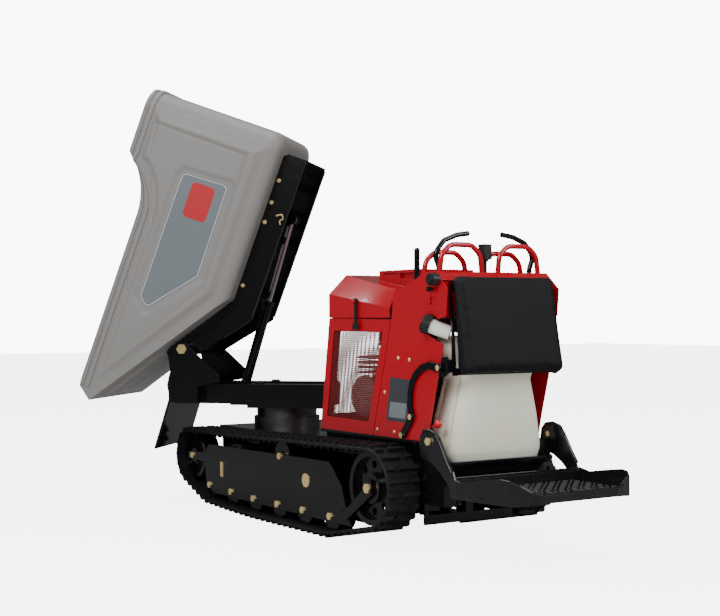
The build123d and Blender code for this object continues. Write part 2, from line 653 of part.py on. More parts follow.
with BuildPart() as dash_panel:
    plate([*dash_top, (326, 1105), (286, 1139), (225, 1135), (-12, 1056)], (-tower_y[0], tower_y[0]))
    for y in (-238, 238):
        block((lever_shaft_x - 30, lever_shaft_x + 30), (y - 14, y + 14), (1100, 1160), Mode.SUBTRACT)
    block((lever_shaft_x - 40, lever_shaft_x + 40), (-26, 26), (1100, 1160), Mode.SUBTRACT)
    block((throttle_x - 24, throttle_x + 24), (throttle_y - 14, throttle_y + 14), (1040, 1130), Mode.SUBTRACT)
    across(lever_shaft_x, lever_shaft_z, (-tower_y[0], tower_y[0]), shaft_radius)
    across(throttle_x, throttle_z, (-tower_y[0], -190), shaft_radius)
    block((252, 290), (-tower_y[0] + 1, -tower_y[0] + 12), (1006, 1042))
    block((230, 236), (-tower_y[0], -tower_y[0] + 30), (1006, 1138))
    block((236, 252), (-tower_y[0] + 1, -tower_y[0] + 12), (1006, 1042))
write(dash_panel.part, "dash_panel")

hoops = ((270, 1255, 1120), (160, 1228, 1100))
with BuildPart() as hand_guards:
    for side in (-1, 1):
        for x, top, foot in hoops:
            bent_rod(
                [(x, side * 262, foot), (x, side * 250, top - 40), (x, side * 205, top), (x, side * 95, top),
                 (x, side * 50, top - 40), (x, side * 40, foot)],
                58, 11,
            )
    plate([*dash_top, (330, 1000), (-12, 1000)], (-cowl_half, cowl_half), Mode.SUBTRACT)
write(hand_guards.part, "hand_guards")


# ---------- operator's end ----------
with BuildPart() as fluid_tank:
    sections = []
    for z, x0, x1, half in ((shelf_z[1], 156, 330, 236), (400, 150, 338, 243), (560, 150, 345, 216), (735, 160, 350, 168)):
        with BuildSketch(Plane.XY.offset(z)) as section:
            with Locations(((x0 + x1) / 2, 0)):
                RectangleRounded(x1 - x0, 2 * half, 40)
        sections.append(section.sketch.face())
    loft(sections)
    block((180, 330), (-236, 236), (735, 902))
write(fluid_tank.part, "fluid_tank")

with BuildPart() as filler_neck:
    rod(neck_point(neck_foot, 10), neck_point(cap_foot, 0), 30)
    rod(neck_point(neck_foot, 20), neck_point(cap_foot, 1), 24, Mode.SUBTRACT)
    add(fluid_tank.part, mode=Mode.SUBTRACT)
write(filler_neck.part, "filler_neck")

with BuildPart() as filler_cap:
    rod(neck_point(cap_foot, contact), neck_point(cap_foot, 30), cap_radius)
    rod(neck_point(cap_foot, 30), neck_point(cap_foot, 38), 32)
    with BuildSketch(Plane(origin=neck_point(cap_foot, 4), z_dir=neck_axis)) as grips:
        with PolarLocations(cap_radius + 1.5, 18):
            Circle(4)
    extrude(grips.sketch, amount=40, dir=neck_axis, mode=Mode.SUBTRACT)
write(filler_cap.part, "filler_cap")

pad_top, pad_bottom = 1131, 724


def pad_front(z):
    """Machine x of the pad's leaning front face."""
    return 338 + (pad_top - z) * 36 / (pad_top - pad_bottom)


with BuildPart() as thigh_pad:
    plate(
        [(384, pad_top), (461, pad_bottom), (pad_front(pad_bottom), pad_bottom), (pad_front(pad_top), pad_top)],
        (-pad_half_top, pad_half_top),
    )
    fillet(thigh_pad.edges().filter_by(Axis.Y), 10)
write(thigh_pad.part, "thigh_pad")

with BuildPart() as pad_frame:
    seat = pad_front(pad_bottom) - contact
    for side in (-1, 1):
        plate(
            [(330, 1098), (pad_front(1098) - contact, 1098), (seat, pad_bottom), (354, pad_bottom), (348, 770),
             (348, 930), (330, 965)],
            span(side, 252, 260),
        )
        block((342, 368), span(side, 260, cowl_y[0]), (738, 790))
        plate([(334, 800), (368, 800), (370, 732), (345, 718), (308, 722), (315, 747)], span(side, *cowl_y))
    for z in (740, 910, 1080):
        block((pad_front(z) - 12, pad_front(z) - 4), (-252, 252), (z - 14, z + 14))
write(pad_frame.part, "pad_frame")

bar_y = (cowl_half + 1, cowl_half + 9)
with BuildPart() as side_bars:
    for side in (-1, 1):
        plate(
            [(340, 740), (340, 772), (254, 779), (196, 764), (148, 732), (118, 690), (106, 650), (102, 596), (112, 552),
             (52, 480), (52, 456), (76, 456), (138, 530), (146, 552), (130, 596), (134, 650), (144, 682), (168, 712),
             (204, 736), (256, 750), (306, 740)],
            span(side, *bar_y),
        )
        for x, z in ((323, 756), (129, 548), (64, 468)):
            hexagon(x, z, span(side, bar_y[1], bar_y[1] + 8), 13)
            across(x, z, span(side, cowl_y[1], bar_y[0]), 10)
write(side_bars.part, "side_bars")

with BuildPart() as platform:
    rim = [(440, 338), (480, 340), (597, 331), (713, 313), (757, 304), (790, 282), (806, 238), (822, 190)]
    outline = [*rim, *[(x, -y) for x, y in reversed(rim)]]
    with BuildSketch(Plane.XY.offset(250)) as step:
        Polygon(*outline, align=None)
    extrude(step.sketch, amount=100, dir=(0, 0, 1))
    with BuildSketch(Plane.XY.offset(278)) as well:
        Polygon(*outline, align=None)
        offset(amount=-7, kind=Kind.INTERSECTION)
    extrude(well.sketch, amount=80, dir=(0, 0, 1), mode=Mode.SUBTRACT)
    with BuildSketch(Plane.XY.offset(249)) as below:
        Polygon(*outline, align=None)
        offset(amount=-7, kind=Kind.INTERSECTION)
    extrude(below.sketch, amount=21, dir=(0, 0, 1), mode=Mode.SUBTRACT)
    plate(
        [(430, 250), (780, 250), (830, 262), (830, 284), (806, 303), (790, 330), (757, 346), (713, 349), (597, 333),
         (500, 318), (440, 330)],
        (-350, 350), Mode.INTERSECT,
    )
    for side in (-1, 1):
        plate(
            [(214, 440), (222, 480), (248, 506), (283, 511), (325, 500), (352, 478), (368, 452), (400, 400), (438, 352),
             (452, 318), (452, 256), (430, 256), (404, 300), (352, 344), (300, 372), (240, 390)],
            span(side, platform_half - 8, platform_half),
        )
        bent_rod([(x, side * (platform_half + 4), z) for x, z in ((250, 500), (283, 506), (330, 494), (366, 450), (400, 396), (436, 348))], 12, 6)
        block((440, 452), span(side, platform_half - 8, 338), (256, 318))
        across(platform_pivot_x, platform_pivot_z, span(side, platform_half - 9, platform_half + 1), bolt_radius + fit, Mode.SUBTRACT)
        for x in (500, 560, 620):
            across(x, 268, span(side, 300, 350), 4, Mode.SUBTRACT)
    block((440, 448), (-platform_half + 8, platform_half - 8), (256, 318))
    with BuildSketch(Plane.XY.offset(278)) as tread:
        Polygon(*outline, align=None)
        offset(amount=-14, kind=Kind.INTERSECTION)
    extrude(tread.sketch, amount=5, dir=(0, 0, 1))
write(platform.part, "platform")


# ---------- controls ----------
for name, side in (("left", -1), ("right", 1)):
    with BuildPart() as traction_lever:
        bent_rod(
            [(lever_shaft_x, side * 238, lever_shaft_z), (lever_shaft_x, side * 240, 1165), (lever_shaft_x, side * 262, 1215),
             (lever_shaft_x, side * 215, 1272), (lever_shaft_x, side * 150, 1296), (lever_shaft_x, side * 88, 1305)],
            45, 11,
        )
        across(lever_shaft_x, lever_shaft_z, span(side, 226, 250), 15)
        across(lever_shaft_x, lever_shaft_z, span(side, 220, 256), shaft_radius + fit, Mode.SUBTRACT)
    write(traction_lever.part, f"traction_lever_{name}")

with BuildPart() as dump_lever:
    rod((lever_shaft_x, 0, lever_shaft_z), (lever_shaft_x, 0, 1200), 8)
    block((lever_shaft_x - 23, lever_shaft_x + 23), (-22, 22), (1198, 1262))
    fillet(dump_lever.edges().filter_by(Axis.Z).filter_by(lambda e: e.length > 50), 8)
    across(lever_shaft_x, lever_shaft_z, (-20, 20), 14)
    across(lever_shaft_x, lever_shaft_z, (-21, 21), shaft_radius + fit, Mode.SUBTRACT)
write(dump_lever.part, "dump_lever")

with BuildPart() as throttle_lever:
    rod((throttle_x, throttle_y, throttle_z), (throttle_x, throttle_y, 1240), 12)
    with Locations((throttle_x, throttle_y, 1240)):
        Sphere(12)
    across(throttle_x, throttle_z, (throttle_y - 12, throttle_y + 12), 15)
    across(throttle_x, throttle_z, (throttle_y - 20, throttle_y + 20), shaft_radius + fit, Mode.SUBTRACT)
write(throttle_lever.part, "throttle_lever")

with BuildPart() as choke_knob:
    across(choke_x, choke_z, (-cowl_half - 34, -cowl_half + 1.5), 26)
    across(choke_x, choke_z, (-cowl_half - 40, -cowl_half - 34), 20)
    across(choke_x, choke_z, (-cowl_half + 1.5, -cowl_half + 30), shaft_radius)
write(choke_knob.part, "choke_knob")

with BuildPart() as ignition_key:
    across(key_x, key_z, (-cowl_half - 6, -cowl_half + 20), 6.5)
    block((key_x - 3, key_x + 3), (-cowl_half - 26, -cowl_half - 6), (key_z - 10, key_z + 10))
write(ignition_key.part, "ignition_key")

brake_y = -tower_y[0] + 6.5
with BuildPart() as brake_lever:
    across(brake_x, brake_z, (brake_y - 6, brake_y + 6), 10)
    rod((brake_x, brake_y, brake_z), (290, brake_y, 527), 5)
    with Locations((292, brake_y - 1, 528)):
        Sphere(17)
    across(brake_x, brake_z, (brake_y - 7, brake_y + 7), 4 + fit, Mode.SUBTRACT)
write(brake_lever.part, "brake_lever")
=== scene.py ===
import bmesh
import bpy
import json
import math
import numpy as np
from mathutils import Matrix, Vector


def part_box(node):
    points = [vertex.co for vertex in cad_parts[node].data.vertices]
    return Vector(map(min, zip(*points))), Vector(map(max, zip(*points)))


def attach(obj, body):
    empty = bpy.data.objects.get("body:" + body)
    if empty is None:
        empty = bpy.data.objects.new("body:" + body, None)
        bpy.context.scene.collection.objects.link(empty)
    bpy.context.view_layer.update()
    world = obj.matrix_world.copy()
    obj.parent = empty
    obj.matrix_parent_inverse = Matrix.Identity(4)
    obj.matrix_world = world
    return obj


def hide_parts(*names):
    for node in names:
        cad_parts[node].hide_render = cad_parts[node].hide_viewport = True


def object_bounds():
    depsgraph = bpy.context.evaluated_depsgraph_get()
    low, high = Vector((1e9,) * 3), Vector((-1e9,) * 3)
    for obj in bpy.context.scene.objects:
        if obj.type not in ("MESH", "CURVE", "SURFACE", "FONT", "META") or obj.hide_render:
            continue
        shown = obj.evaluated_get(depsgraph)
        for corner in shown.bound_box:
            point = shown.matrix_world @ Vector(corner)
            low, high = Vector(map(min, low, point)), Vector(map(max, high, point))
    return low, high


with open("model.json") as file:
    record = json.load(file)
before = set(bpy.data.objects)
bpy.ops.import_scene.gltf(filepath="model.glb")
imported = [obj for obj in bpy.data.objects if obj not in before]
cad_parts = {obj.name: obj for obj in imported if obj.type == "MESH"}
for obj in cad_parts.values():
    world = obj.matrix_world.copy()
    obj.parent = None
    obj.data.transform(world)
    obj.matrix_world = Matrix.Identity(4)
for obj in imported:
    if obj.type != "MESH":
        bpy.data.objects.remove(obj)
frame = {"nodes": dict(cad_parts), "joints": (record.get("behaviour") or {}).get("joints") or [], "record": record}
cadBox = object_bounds()
nodes = frame["nodes"]
joints = {j["name"]: j for j in frame["joints"]}
print("frame loaded,", len(nodes), "nodes")

# ---- camera, light and floor ----
camera = {
    "place": (5.4097, -3.2227, 0.9598), "look": (-0.83785, 0.54585, 0.00682), "lens": 66.83, "sensor": 36.0,
    "roll": math.radians(-0.207),
}


def makeCamera(s):
    # axes from the look direction, then turned about it by the roll
    data = bpy.data.cameras.new("studioCamera")
    data.lens, data.sensor_width, data.clip_end = s["lens"], s["sensor"], 60
    cam = bpy.data.objects.new("studioCamera", data)
    bpy.context.scene.collection.objects.link(cam)
    look = Vector(s["look"]).normalized()
    level = look.cross(Vector((0, 0, 1))).normalized()
    up = level.cross(look)
    across = level * math.cos(s["roll"]) + up * math.sin(s["roll"])
    above = up * math.cos(s["roll"]) - level * math.sin(s["roll"])
    cam.matrix_world = Matrix((
        (across.x, above.x, -look.x, s["place"][0]), (across.y, above.y, -look.y, s["place"][1]),
        (across.z, above.z, -look.z, s["place"][2]), (0, 0, 0, 1),
    ))
    bpy.context.scene.camera = cam


lights = [
    {"name": "keyLight", "place": (3.2, -4.6, 4.6), "aim": (0, 0, 0.8), "size": 3.0, "watts": 230},
    {"name": "rearLight", "place": (5.0, 2.4, 3.4), "aim": (0.4, 0, 0.8), "size": 2.4, "watts": 110},
    {"name": "frontLight", "place": (-3.4, -1.2, 5.2), "aim": (-0.8, 0, 1.4), "size": 2.0, "watts": 90},
    {"name": "topLight", "place": (0, 0, 6.2), "aim": (0, 0, 0), "size": 4.0, "watts": 150},
]
backdrop = {
    "light": 0.42, "glossy": 0.10, "white": 9.0, "floorGlow": 5.0, "floorSize": 30.0, "floorMirrored": 0.16,
}


def makeLights():
    # area lamps, and a world that is white to the camera, dim as light and darker in reflections
    for s in lights:
        data = bpy.data.lights.new(s["name"], "AREA")
        data.energy, data.size = s["watts"], s["size"]
        lamp = bpy.data.objects.new(s["name"], data)
        bpy.context.scene.collection.objects.link(lamp)
        lamp.location = s["place"]
        lamp.rotation_euler = (Vector(s["aim"]) - Vector(s["place"])).to_track_quat("-Z", "Y").to_euler()
    world = bpy.data.worlds.new("studioWorld")
    bpy.context.scene.world = world
    world.use_nodes = True
    tree = world.node_tree
    tree.nodes["Background"].inputs["Color"].default_value = (1, 1, 1, 1)
    path = addNode(tree, "ShaderNodeLightPath").outputs
    lit = rangeOn(tree, path["Is Glossy Ray"], 0.0, 1.0, backdrop["light"], backdrop["glossy"])
    shown = mathOn(tree, "MULTIPLY", path["Is Camera Ray"], backdrop["white"])
    tree.links.new(mathOn(tree, "ADD", lit, shown), tree.nodes["Background"].inputs["Strength"])


# ---- shader node groups ----
def newGroup(name, inputs, outputs):
    # inputs and outputs are (name, socket type, start value)
    group = bpy.data.node_groups.new(name, "ShaderNodeTree")
    for side, rows in (("INPUT", inputs), ("OUTPUT", outputs)):
        for label, kind, start in rows:
            socket = group.interface.new_socket(name=label, in_out=side, socket_type=kind)
            if start is not None:
                socket.default_value = start
    return group, group.nodes.new("NodeGroupInput"), group.nodes.new("NodeGroupOutput")


def addNode(tree, kind, **settings):
    node = tree.nodes.new(kind)
    for key, value in settings.items():
        setattr(node, key, value)
    return node


# each of these adds one node to a tree, with numbers or sockets going in, and gives its output
def noiseOn(tree, vector, scale, detail=4.0, rough=0.55):
    noise = addNode(tree, "ShaderNodeTexNoise")
    tree.links.new(vector, noise.inputs["Vector"])
    if isinstance(scale, (int, float)):
        noise.inputs["Scale"].default_value = scale
    else:
        tree.links.new(scale, noise.inputs["Scale"])
    noise.inputs["Detail"].default_value = detail
    noise.inputs["Roughness"].default_value = rough
    return noise.outputs["Fac"]


def mathOn(tree, operation, first, second=None, clamp=False):
    node = addNode(tree, "ShaderNodeMath", operation=operation, use_clamp=clamp)
    for slot, value in enumerate((first, second)):
        if value is None:
            continue
        if isinstance(value, (int, float)):
            node.inputs[slot].default_value = value
        else:
            tree.links.new(value, node.inputs[slot])
    return node.outputs[0]


def rangeOn(tree, value, low, high, outLow, outHigh):
    node = addNode(tree, "ShaderNodeMapRange")
    tree.links.new(value, node.inputs["Value"])
    for label, number in (("From Min", low), ("From Max", high), ("To Min", outLow), ("To Max", outHigh)):
        node.inputs[label].default_value = number
    return node.outputs["Result"]


def mixOn(tree, factor, first, second):
    node = addNode(tree, "ShaderNodeMix", data_type="RGBA")
    tree.links.new(factor, node.inputs["Factor"])
    for slot, value in ((6, first), (7, second)):
        if isinstance(value, tuple):
            node.inputs[slot].default_value = value
        else:
            tree.links.new(value, node.inputs[slot])
    return node.outputs[2]


def makeFinishGroup():
    # slow colour drift, dust that settles lower down, fine grain for the bump
    group, inn, out = newGroup(
        "shopFinish",
        [("Base", "NodeSocketColor", None), ("Dust", "NodeSocketColor", (0.30, 0.27, 0.23, 1)),
         ("Dust Amount", "NodeSocketFloat", 0.1), ("Drift", "NodeSocketFloat", 0.1),
         ("Grain Scale", "NodeSocketFloat", 400.0),
         ("Rough Low", "NodeSocketFloat", 0.3), ("Rough High", "NodeSocketFloat", 0.45)],
        [("Color", "NodeSocketColor", None), ("Roughness", "NodeSocketFloat", None),
         ("Height", "NodeSocketFloat", None)],
    )
    coords = addNode(group, "ShaderNodeTexCoord").outputs["Object"]
    large = noiseOn(group, coords, 3.2)
    small = noiseOn(group, coords, 46.0, 6.0, 0.65)
    grain = noiseOn(group, coords, inn.outputs["Grain Scale"], 2.0)
    darker = addNode(group, "ShaderNodeHueSaturation")
    group.links.new(inn.outputs["Base"], darker.inputs["Color"])
    swing = mathOn(group, "MULTIPLY", mathOn(group, "SUBTRACT", large, 0.5), inn.outputs["Drift"])
    group.links.new(mathOn(group, "ADD", mathOn(group, "MULTIPLY", swing, 3.0), 1.0), darker.inputs["Value"])
    place = addNode(group, "ShaderNodeSeparateXYZ")
    group.links.new(coords, place.inputs[0])
    low = rangeOn(group, place.outputs["Z"], 0.0, 0.7, 1.0, 0.15)
    patch = rangeOn(group, small, 0.45, 0.75, 0.0, 1.0)
    settled = mathOn(group, "MULTIPLY", low, patch)
    dust = mathOn(group, "MULTIPLY", settled, inn.outputs["Dust Amount"], clamp=True)
    group.links.new(mixOn(group, dust, darker.outputs["Color"], inn.outputs["Dust"]), out.inputs["Color"])
    spread = mathOn(group, "SUBTRACT", inn.outputs["Rough High"], inn.outputs["Rough Low"])
    rough = mathOn(group, "ADD", inn.outputs["Rough Low"], mathOn(group, "MULTIPLY", small, spread))
    dusty = mathOn(group, "MULTIPLY", dust, 0.3)
    group.links.new(mathOn(group, "ADD", rough, dusty), out.inputs["Roughness"])
    group.links.new(mathOn(group, "ADD", grain, mathOn(group, "MULTIPLY", small, 0.35)), out.inputs["Height"])
    return group


def makePerforationGroup():
    # staggered round holes: distance to the nearest hole centre, with odd rows shifted by half a pitch
    group, inn, out = newGroup(
        "perforation", [("Pitch", "NodeSocketFloat", 0.0095), ("Hole", "NodeSocketFloat", 0.33)],
        [("Metal", "NodeSocketFloat", None)],
    )
    place = addNode(group, "ShaderNodeSeparateXYZ")
    group.links.new(addNode(group, "ShaderNodeTexCoord").outputs["Object"], place.inputs[0])
    sideAndFront = mathOn(group, "ADD", place.outputs["X"], place.outputs["Y"])
    along = mathOn(group, "DIVIDE", sideAndFront, inn.outputs["Pitch"])
    row = mathOn(group, "DIVIDE", place.outputs["Z"], mathOn(group, "MULTIPLY", inn.outputs["Pitch"], 0.866))
    whole = mathOn(group, "FLOOR", row)
    odd = mathOn(group, "MODULO", mathOn(group, "ABSOLUTE", whole), 2.0)
    shifted = mathOn(group, "ADD", along, mathOn(group, "MULTIPLY", odd, 0.5))
    sideways = mathOn(group, "SUBTRACT", mathOn(group, "FRACT", shifted), 0.5)
    upward = mathOn(group, "MULTIPLY", mathOn(group, "SUBTRACT", mathOn(group, "FRACT", row), 0.5), 0.866)
    squares = [mathOn(group, "MULTIPLY", part, part) for part in (sideways, upward)]
    reach = mathOn(group, "SQRT", mathOn(group, "ADD", *squares))
    group.links.new(mathOn(group, "GREATER_THAN", reach, inn.outputs["Hole"]), out.inputs["Metal"])
    return group


finishGroup = makeFinishGroup()
perforationGroup = makePerforationGroup()


# ---- materials ----
finishes = {
    "tubPlastic": {
        "color": (0.245, 0.236, 0.226), "rough": (0.4, 0.54), "drift": 0.04, "dust": 0.04,
        "grain": 520, "bump": 0.1,
    },
    "redPaint": {
        "color": (0.44, 0.0018, 0.011), "rough": (0.14, 0.24), "drift": 0.05, "dust": 0.03,
        "grain": 700, "bump": 0.02, "coat": 0.6, "bevel": 0.0015,
    },
    "blackPaint": {
        "gloss": 0.45, "color": (0.0045, 0.0048, 0.0056), "rough": (0.12, 0.22), "drift": 0.1,
        "dust": 0.01, "grain": 600, "bump": 0.02, "coat": 0.25, "bevel": 0.002,
    },
    "platformPaint": {
        "color": (0.008, 0.0085, 0.01), "rough": (0.16, 0.3), "drift": 0.1, "dust": 0.03,
        "grain": 500, "bump": 0.05, "coat": 0.4, "bevel": 0.0025,
    },
    "zincPlate": {
        "color": (0.86, 0.66, 0.3), "rough": (0.22, 0.38), "drift": 0.35, "dust": 0.1,
        "grain": 300, "bump": 0.03, "metal": 0.55, "bevel": 0.001,
    },
    "chromeRod": {
        "color": (0.78, 0.79, 0.81), "rough": (0.07, 0.14), "drift": 0.02, "dust": 0.02,
        "grain": 300, "bump": 0.01, "metal": 1.0,
    },
    "bareSteel": {
        "color": (0.2, 0.2, 0.21), "rough": (0.3, 0.45), "drift": 0.2, "dust": 0.2,
        "grain": 240, "bump": 0.05, "metal": 1.0,
    },
    "beltRubber": {
        "gloss": 0.3, "color": (0.01, 0.0105, 0.0125), "rough": (0.42, 0.6), "drift": 0.2,
        "dust": 0.05, "grain": 260, "bump": 0.25,
    },
    "latchRubber": {
        "color": (0.012, 0.012, 0.012), "rough": (0.45, 0.6), "drift": 0.1, "dust": 0.05,
        "grain": 400, "bump": 0.1,
    },
    "padVinyl": {
        "gloss": 0.25, "color": (0.007, 0.0074, 0.0086), "rough": (0.55, 0.7), "drift": 0.1,
        "dust": 0.05, "grain": 900, "bump": 0.22,
    },
    "tankPlastic": {
        "color": (0.97, 0.95, 0.78), "rough": (0.32, 0.44), "drift": 0.03, "dust": 0.12,
        "grain": 260, "bump": 0.04, "scatter": 0.45,
    },
    "blackPlastic": {
        "color": (0.014, 0.014, 0.015), "rough": (0.34, 0.5), "drift": 0.1, "dust": 0.08,
        "grain": 420, "bump": 0.08, "bevel": 0.0012,
    },
    "knobRed": {
        "color": (0.66, 0.01, 0.016), "rough": (0.08, 0.14), "drift": 0.02, "dust": 0.02,
        "grain": 300, "bump": 0.01, "coat": 0.8,
    },
    "engineAlloy": {
        "color": (0.3, 0.27, 0.26), "rough": (0.4, 0.6), "drift": 0.4, "dust": 0.3,
        "grain": 180, "bump": 0.12,
    },
    "meshPaint": {
        "color": (0.16, 0.012, 0.014), "rough": (0.35, 0.5), "drift": 0.1, "dust": 0.1,
        "grain": 300, "bump": 0.02,
    },
    "decalPlate": {
        "color": (0.165, 0.19, 0.205), "rough": (0.24, 0.34), "drift": 0.04, "dust": 0.04,
        "grain": 700, "bump": 0.02,
    },
    "decalWhite": {
        "color": (0.62, 0.64, 0.65), "rough": (0.3, 0.4), "drift": 0.02, "dust": 0.02,
        "grain": 600, "bump": 0.01,
    },
    "decalRed": {
        "color": (0.52, 0.022, 0.03), "rough": (0.26, 0.36), "drift": 0.02, "dust": 0.02,
        "grain": 600, "bump": 0.01,
    },
    "decalDark": {
        "color": (0.045, 0.05, 0.058), "rough": (0.26, 0.36), "drift": 0.05, "dust": 0.04,
        "grain": 500, "bump": 0.02,
    },
    "treadGrip": {
        "color": (0.032, 0.033, 0.037), "rough": (0.46, 0.62), "drift": 0.3, "dust": 0.3,
        "grain": 300, "bump": 0.3,
    },
    "engineTag": {
        "color": (0.62, 0.56, 0.5), "rough": (0.3, 0.45), "drift": 0.1, "dust": 0.1,
        "grain": 300, "bump": 0.05,
    },
    "brassCap": {
        "color": (0.74, 0.4, 0.08), "rough": (0.25, 0.4), "drift": 0.1, "dust": 0.1,
        "grain": 300, "bump": 0.02, "metal": 0.8,
    },
}
materials = {}


def makeMaterial(name):
    # the finish group feeds colour, roughness and bump; all even values sit on the shader itself
    s = finishes[name]
    material = bpy.data.materials.new(name)
    material.use_nodes = True
    tree = material.node_tree
    shader = tree.nodes["Principled BSDF"]
    finish = addNode(tree, "ShaderNodeGroup", node_tree=finishGroup)
    finish.inputs["Base"].default_value = (*s["color"], 1)
    finish.inputs["Dust Amount"].default_value = s["dust"]
    finish.inputs["Drift"].default_value = s["drift"]
    finish.inputs["Grain Scale"].default_value = s["grain"]
    finish.inputs["Rough Low"].default_value, finish.inputs["Rough High"].default_value = s["rough"]
    tree.links.new(finish.outputs["Color"], shader.inputs["Base Color"])
    tree.links.new(finish.outputs["Roughness"], shader.inputs["Roughness"])
    bump = addNode(tree, "ShaderNodeBump")
    bump.inputs["Strength"].default_value = s["bump"]
    bump.inputs["Distance"].default_value = 0.002
    tree.links.new(finish.outputs["Height"], bump.inputs["Height"])
    if "bevel" in s:
        rounded = addNode(tree, "ShaderNodeBevel", samples=4)
        rounded.inputs["Radius"].default_value = s["bevel"]
        tree.links.new(rounded.outputs["Normal"], bump.inputs["Normal"])
    tree.links.new(bump.outputs["Normal"], shader.inputs["Normal"])
    shader.inputs["Metallic"].default_value = s.get("metal", 0.0)
    shader.inputs["Coat Weight"].default_value = s.get("coat", 0.0)
    shader.inputs["Coat Roughness"].default_value = 0.06
    shader.inputs["Specular IOR Level"].default_value = s.get("gloss", 0.5)
    if "scatter" in s:
        shader.inputs["Subsurface Weight"].default_value = s["scatter"]
        shader.inputs["Subsurface Radius"].default_value = (0.05, 0.04, 0.025)
        shader.inputs["Subsurface Scale"].default_value = 0.6
    if name == "meshPaint":
        holes = addNode(tree, "ShaderNodeGroup", node_tree=perforationGroup)
        tree.links.new(holes.outputs["Metal"], shader.inputs["Alpha"])
    materials[name] = material


slotFinish = {
    "tub_plastic": "tubPlastic", "red_paint": "redPaint", "black_paint": "blackPaint",
    "zinc_plate": "zincPlate", "chrome_rod": "chromeRod", "bare_steel": "bareSteel",
    "belt_rubber": "beltRubber", "latch_rubber": "latchRubber", "mesh_paint": "meshPaint",
    "pad_vinyl": "padVinyl", "tank_plastic": "tankPlastic", "black_plastic": "blackPlastic",
    "knob_red": "knobRed", "platform_paint": "platformPaint", "engine_alloy": "engineAlloy",
}


def dressNodes():
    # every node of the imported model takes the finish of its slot, apart from two
    for row in frame["record"]["subparts"]:
        piece = nodes[row["node"]]
        piece.data.materials.clear()
        piece.data.materials.append(materials[slotFinish[row["material_slot"]]])
    nodes["filler_neck"].data.materials[0] = materials["tankPlastic"]
    nodes["dash_panel"].data.materials[0] = materials["redPaint"]


# ---- mesh helpers ----
def insideBox(verts):
    # the points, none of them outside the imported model's box
    return np.clip(np.asarray(verts, float).reshape(-1, 3), np.array(cadBox[0]), np.array(cadBox[1]))


def meshPoints(mesh):
    # the mesh's vertices as an array of rows
    flat = np.empty(len(mesh.vertices) * 3, np.float32)
    mesh.vertices.foreach_get("co", flat)
    return flat.reshape(-1, 3).astype(float)


def addPiece(name, verts, faces, finish, body, smooth=True, sharp=40):
    mesh = bpy.data.meshes.new(name)
    faces = faces.tolist() if isinstance(faces, np.ndarray) else faces
    mesh.from_pydata(insideBox(verts).tolist(), [], faces)
    mesh.update()
    piece = bpy.data.objects.new(name, mesh)
    bpy.context.scene.collection.objects.link(piece)
    mesh.materials.append(materials[finish])
    if smooth:
        mesh.shade_smooth()
        mesh.set_sharp_from_angle(angle=math.radians(sharp))
    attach(piece, body)
    return piece


def gridFaces(rows, columns, closeRows=False, closeColumns=False, start=0):
    # quads between neighbouring points of a rows by columns grid
    r = np.arange(rows if closeRows else rows - 1)
    c = np.arange(columns if closeColumns else columns - 1)
    r, c = [v.ravel() for v in np.meshgrid(r, c, indexing="ij")]
    up, right = (r + 1) % rows, (c + 1) % columns
    return np.stack([r * columns + c, r * columns + right, up * columns + right, up * columns + c], 1) + start


def middle(node):
    # half way between the node's lowest and highest corners
    low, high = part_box(node)
    return (low + high) / 2


def repeated(shapeVerts, shapeFaces, places):
    # the same small shape set down at each 4 by 4 place
    points = np.c_[shapeVerts, np.ones(len(shapeVerts))]
    verts = np.concatenate([(points @ p.T)[:, :3] for p in places])
    faces = np.concatenate([np.asarray(shapeFaces) + n * len(shapeVerts) for n in range(len(places))])
    return verts, faces


def placeAt(origin, xAxis, yAxis, zAxis):
    # a 4 by 4 place from three axes and an origin
    m = np.eye(4)
    for column, axis in enumerate((xAxis, yAxis, zAxis, origin)):
        m[:3, column] = axis
    return m


boxFaces = [(0, 3, 2, 1), (4, 5, 6, 7), (0, 1, 5, 4), (1, 2, 6, 5), (2, 3, 7, 6), (3, 0, 4, 7)]


def taperedBlock(length, width, height, taper):
    # a block on z = 0 whose top is drawn in by taper on every side
    a, b = length / 2, width / 2
    c, d = a - taper, b - taper
    foot = [(-a, -b, 0), (a, -b, 0), (a, b, 0), (-a, b, 0)]
    return np.array([*foot, (-c, -d, height), (c, -d, height), (c, d, height), (-c, d, height)])


# ---- rubber belts ----
belt = {
    "thickness": 0.028, "carcass": 0.013, "slack": 0.0003, "lugPitch": 0.052, "lugLength": 0.023,
    "taper": 0.004, "edge": 0.003, "steps": 720, "lugInset": 0.002, "sunk": 0.001,
    "longShare": 0.60, "shortShare": 0.28, "toothHeight": 0.024, "tooth": (0.030, 0.024, 0.006),
    "toothClear": 0.12, "carrierClear": 0.09, "topRun": 0.30,
}


def wheelCircles(side):
    # centre and radius of every wheel that the belt goes round
    names = [f"front_idler_{side}", f"drive_wheel_{side}", *[f"road_roller_{side}_{n}" for n in range(1, 7)]]
    circles = []
    for name in names:
        low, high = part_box(name)
        circles.append(((low.x + high.x) / 2, (low.z + high.z) / 2, (high.x - low.x) / 2))
    return circles


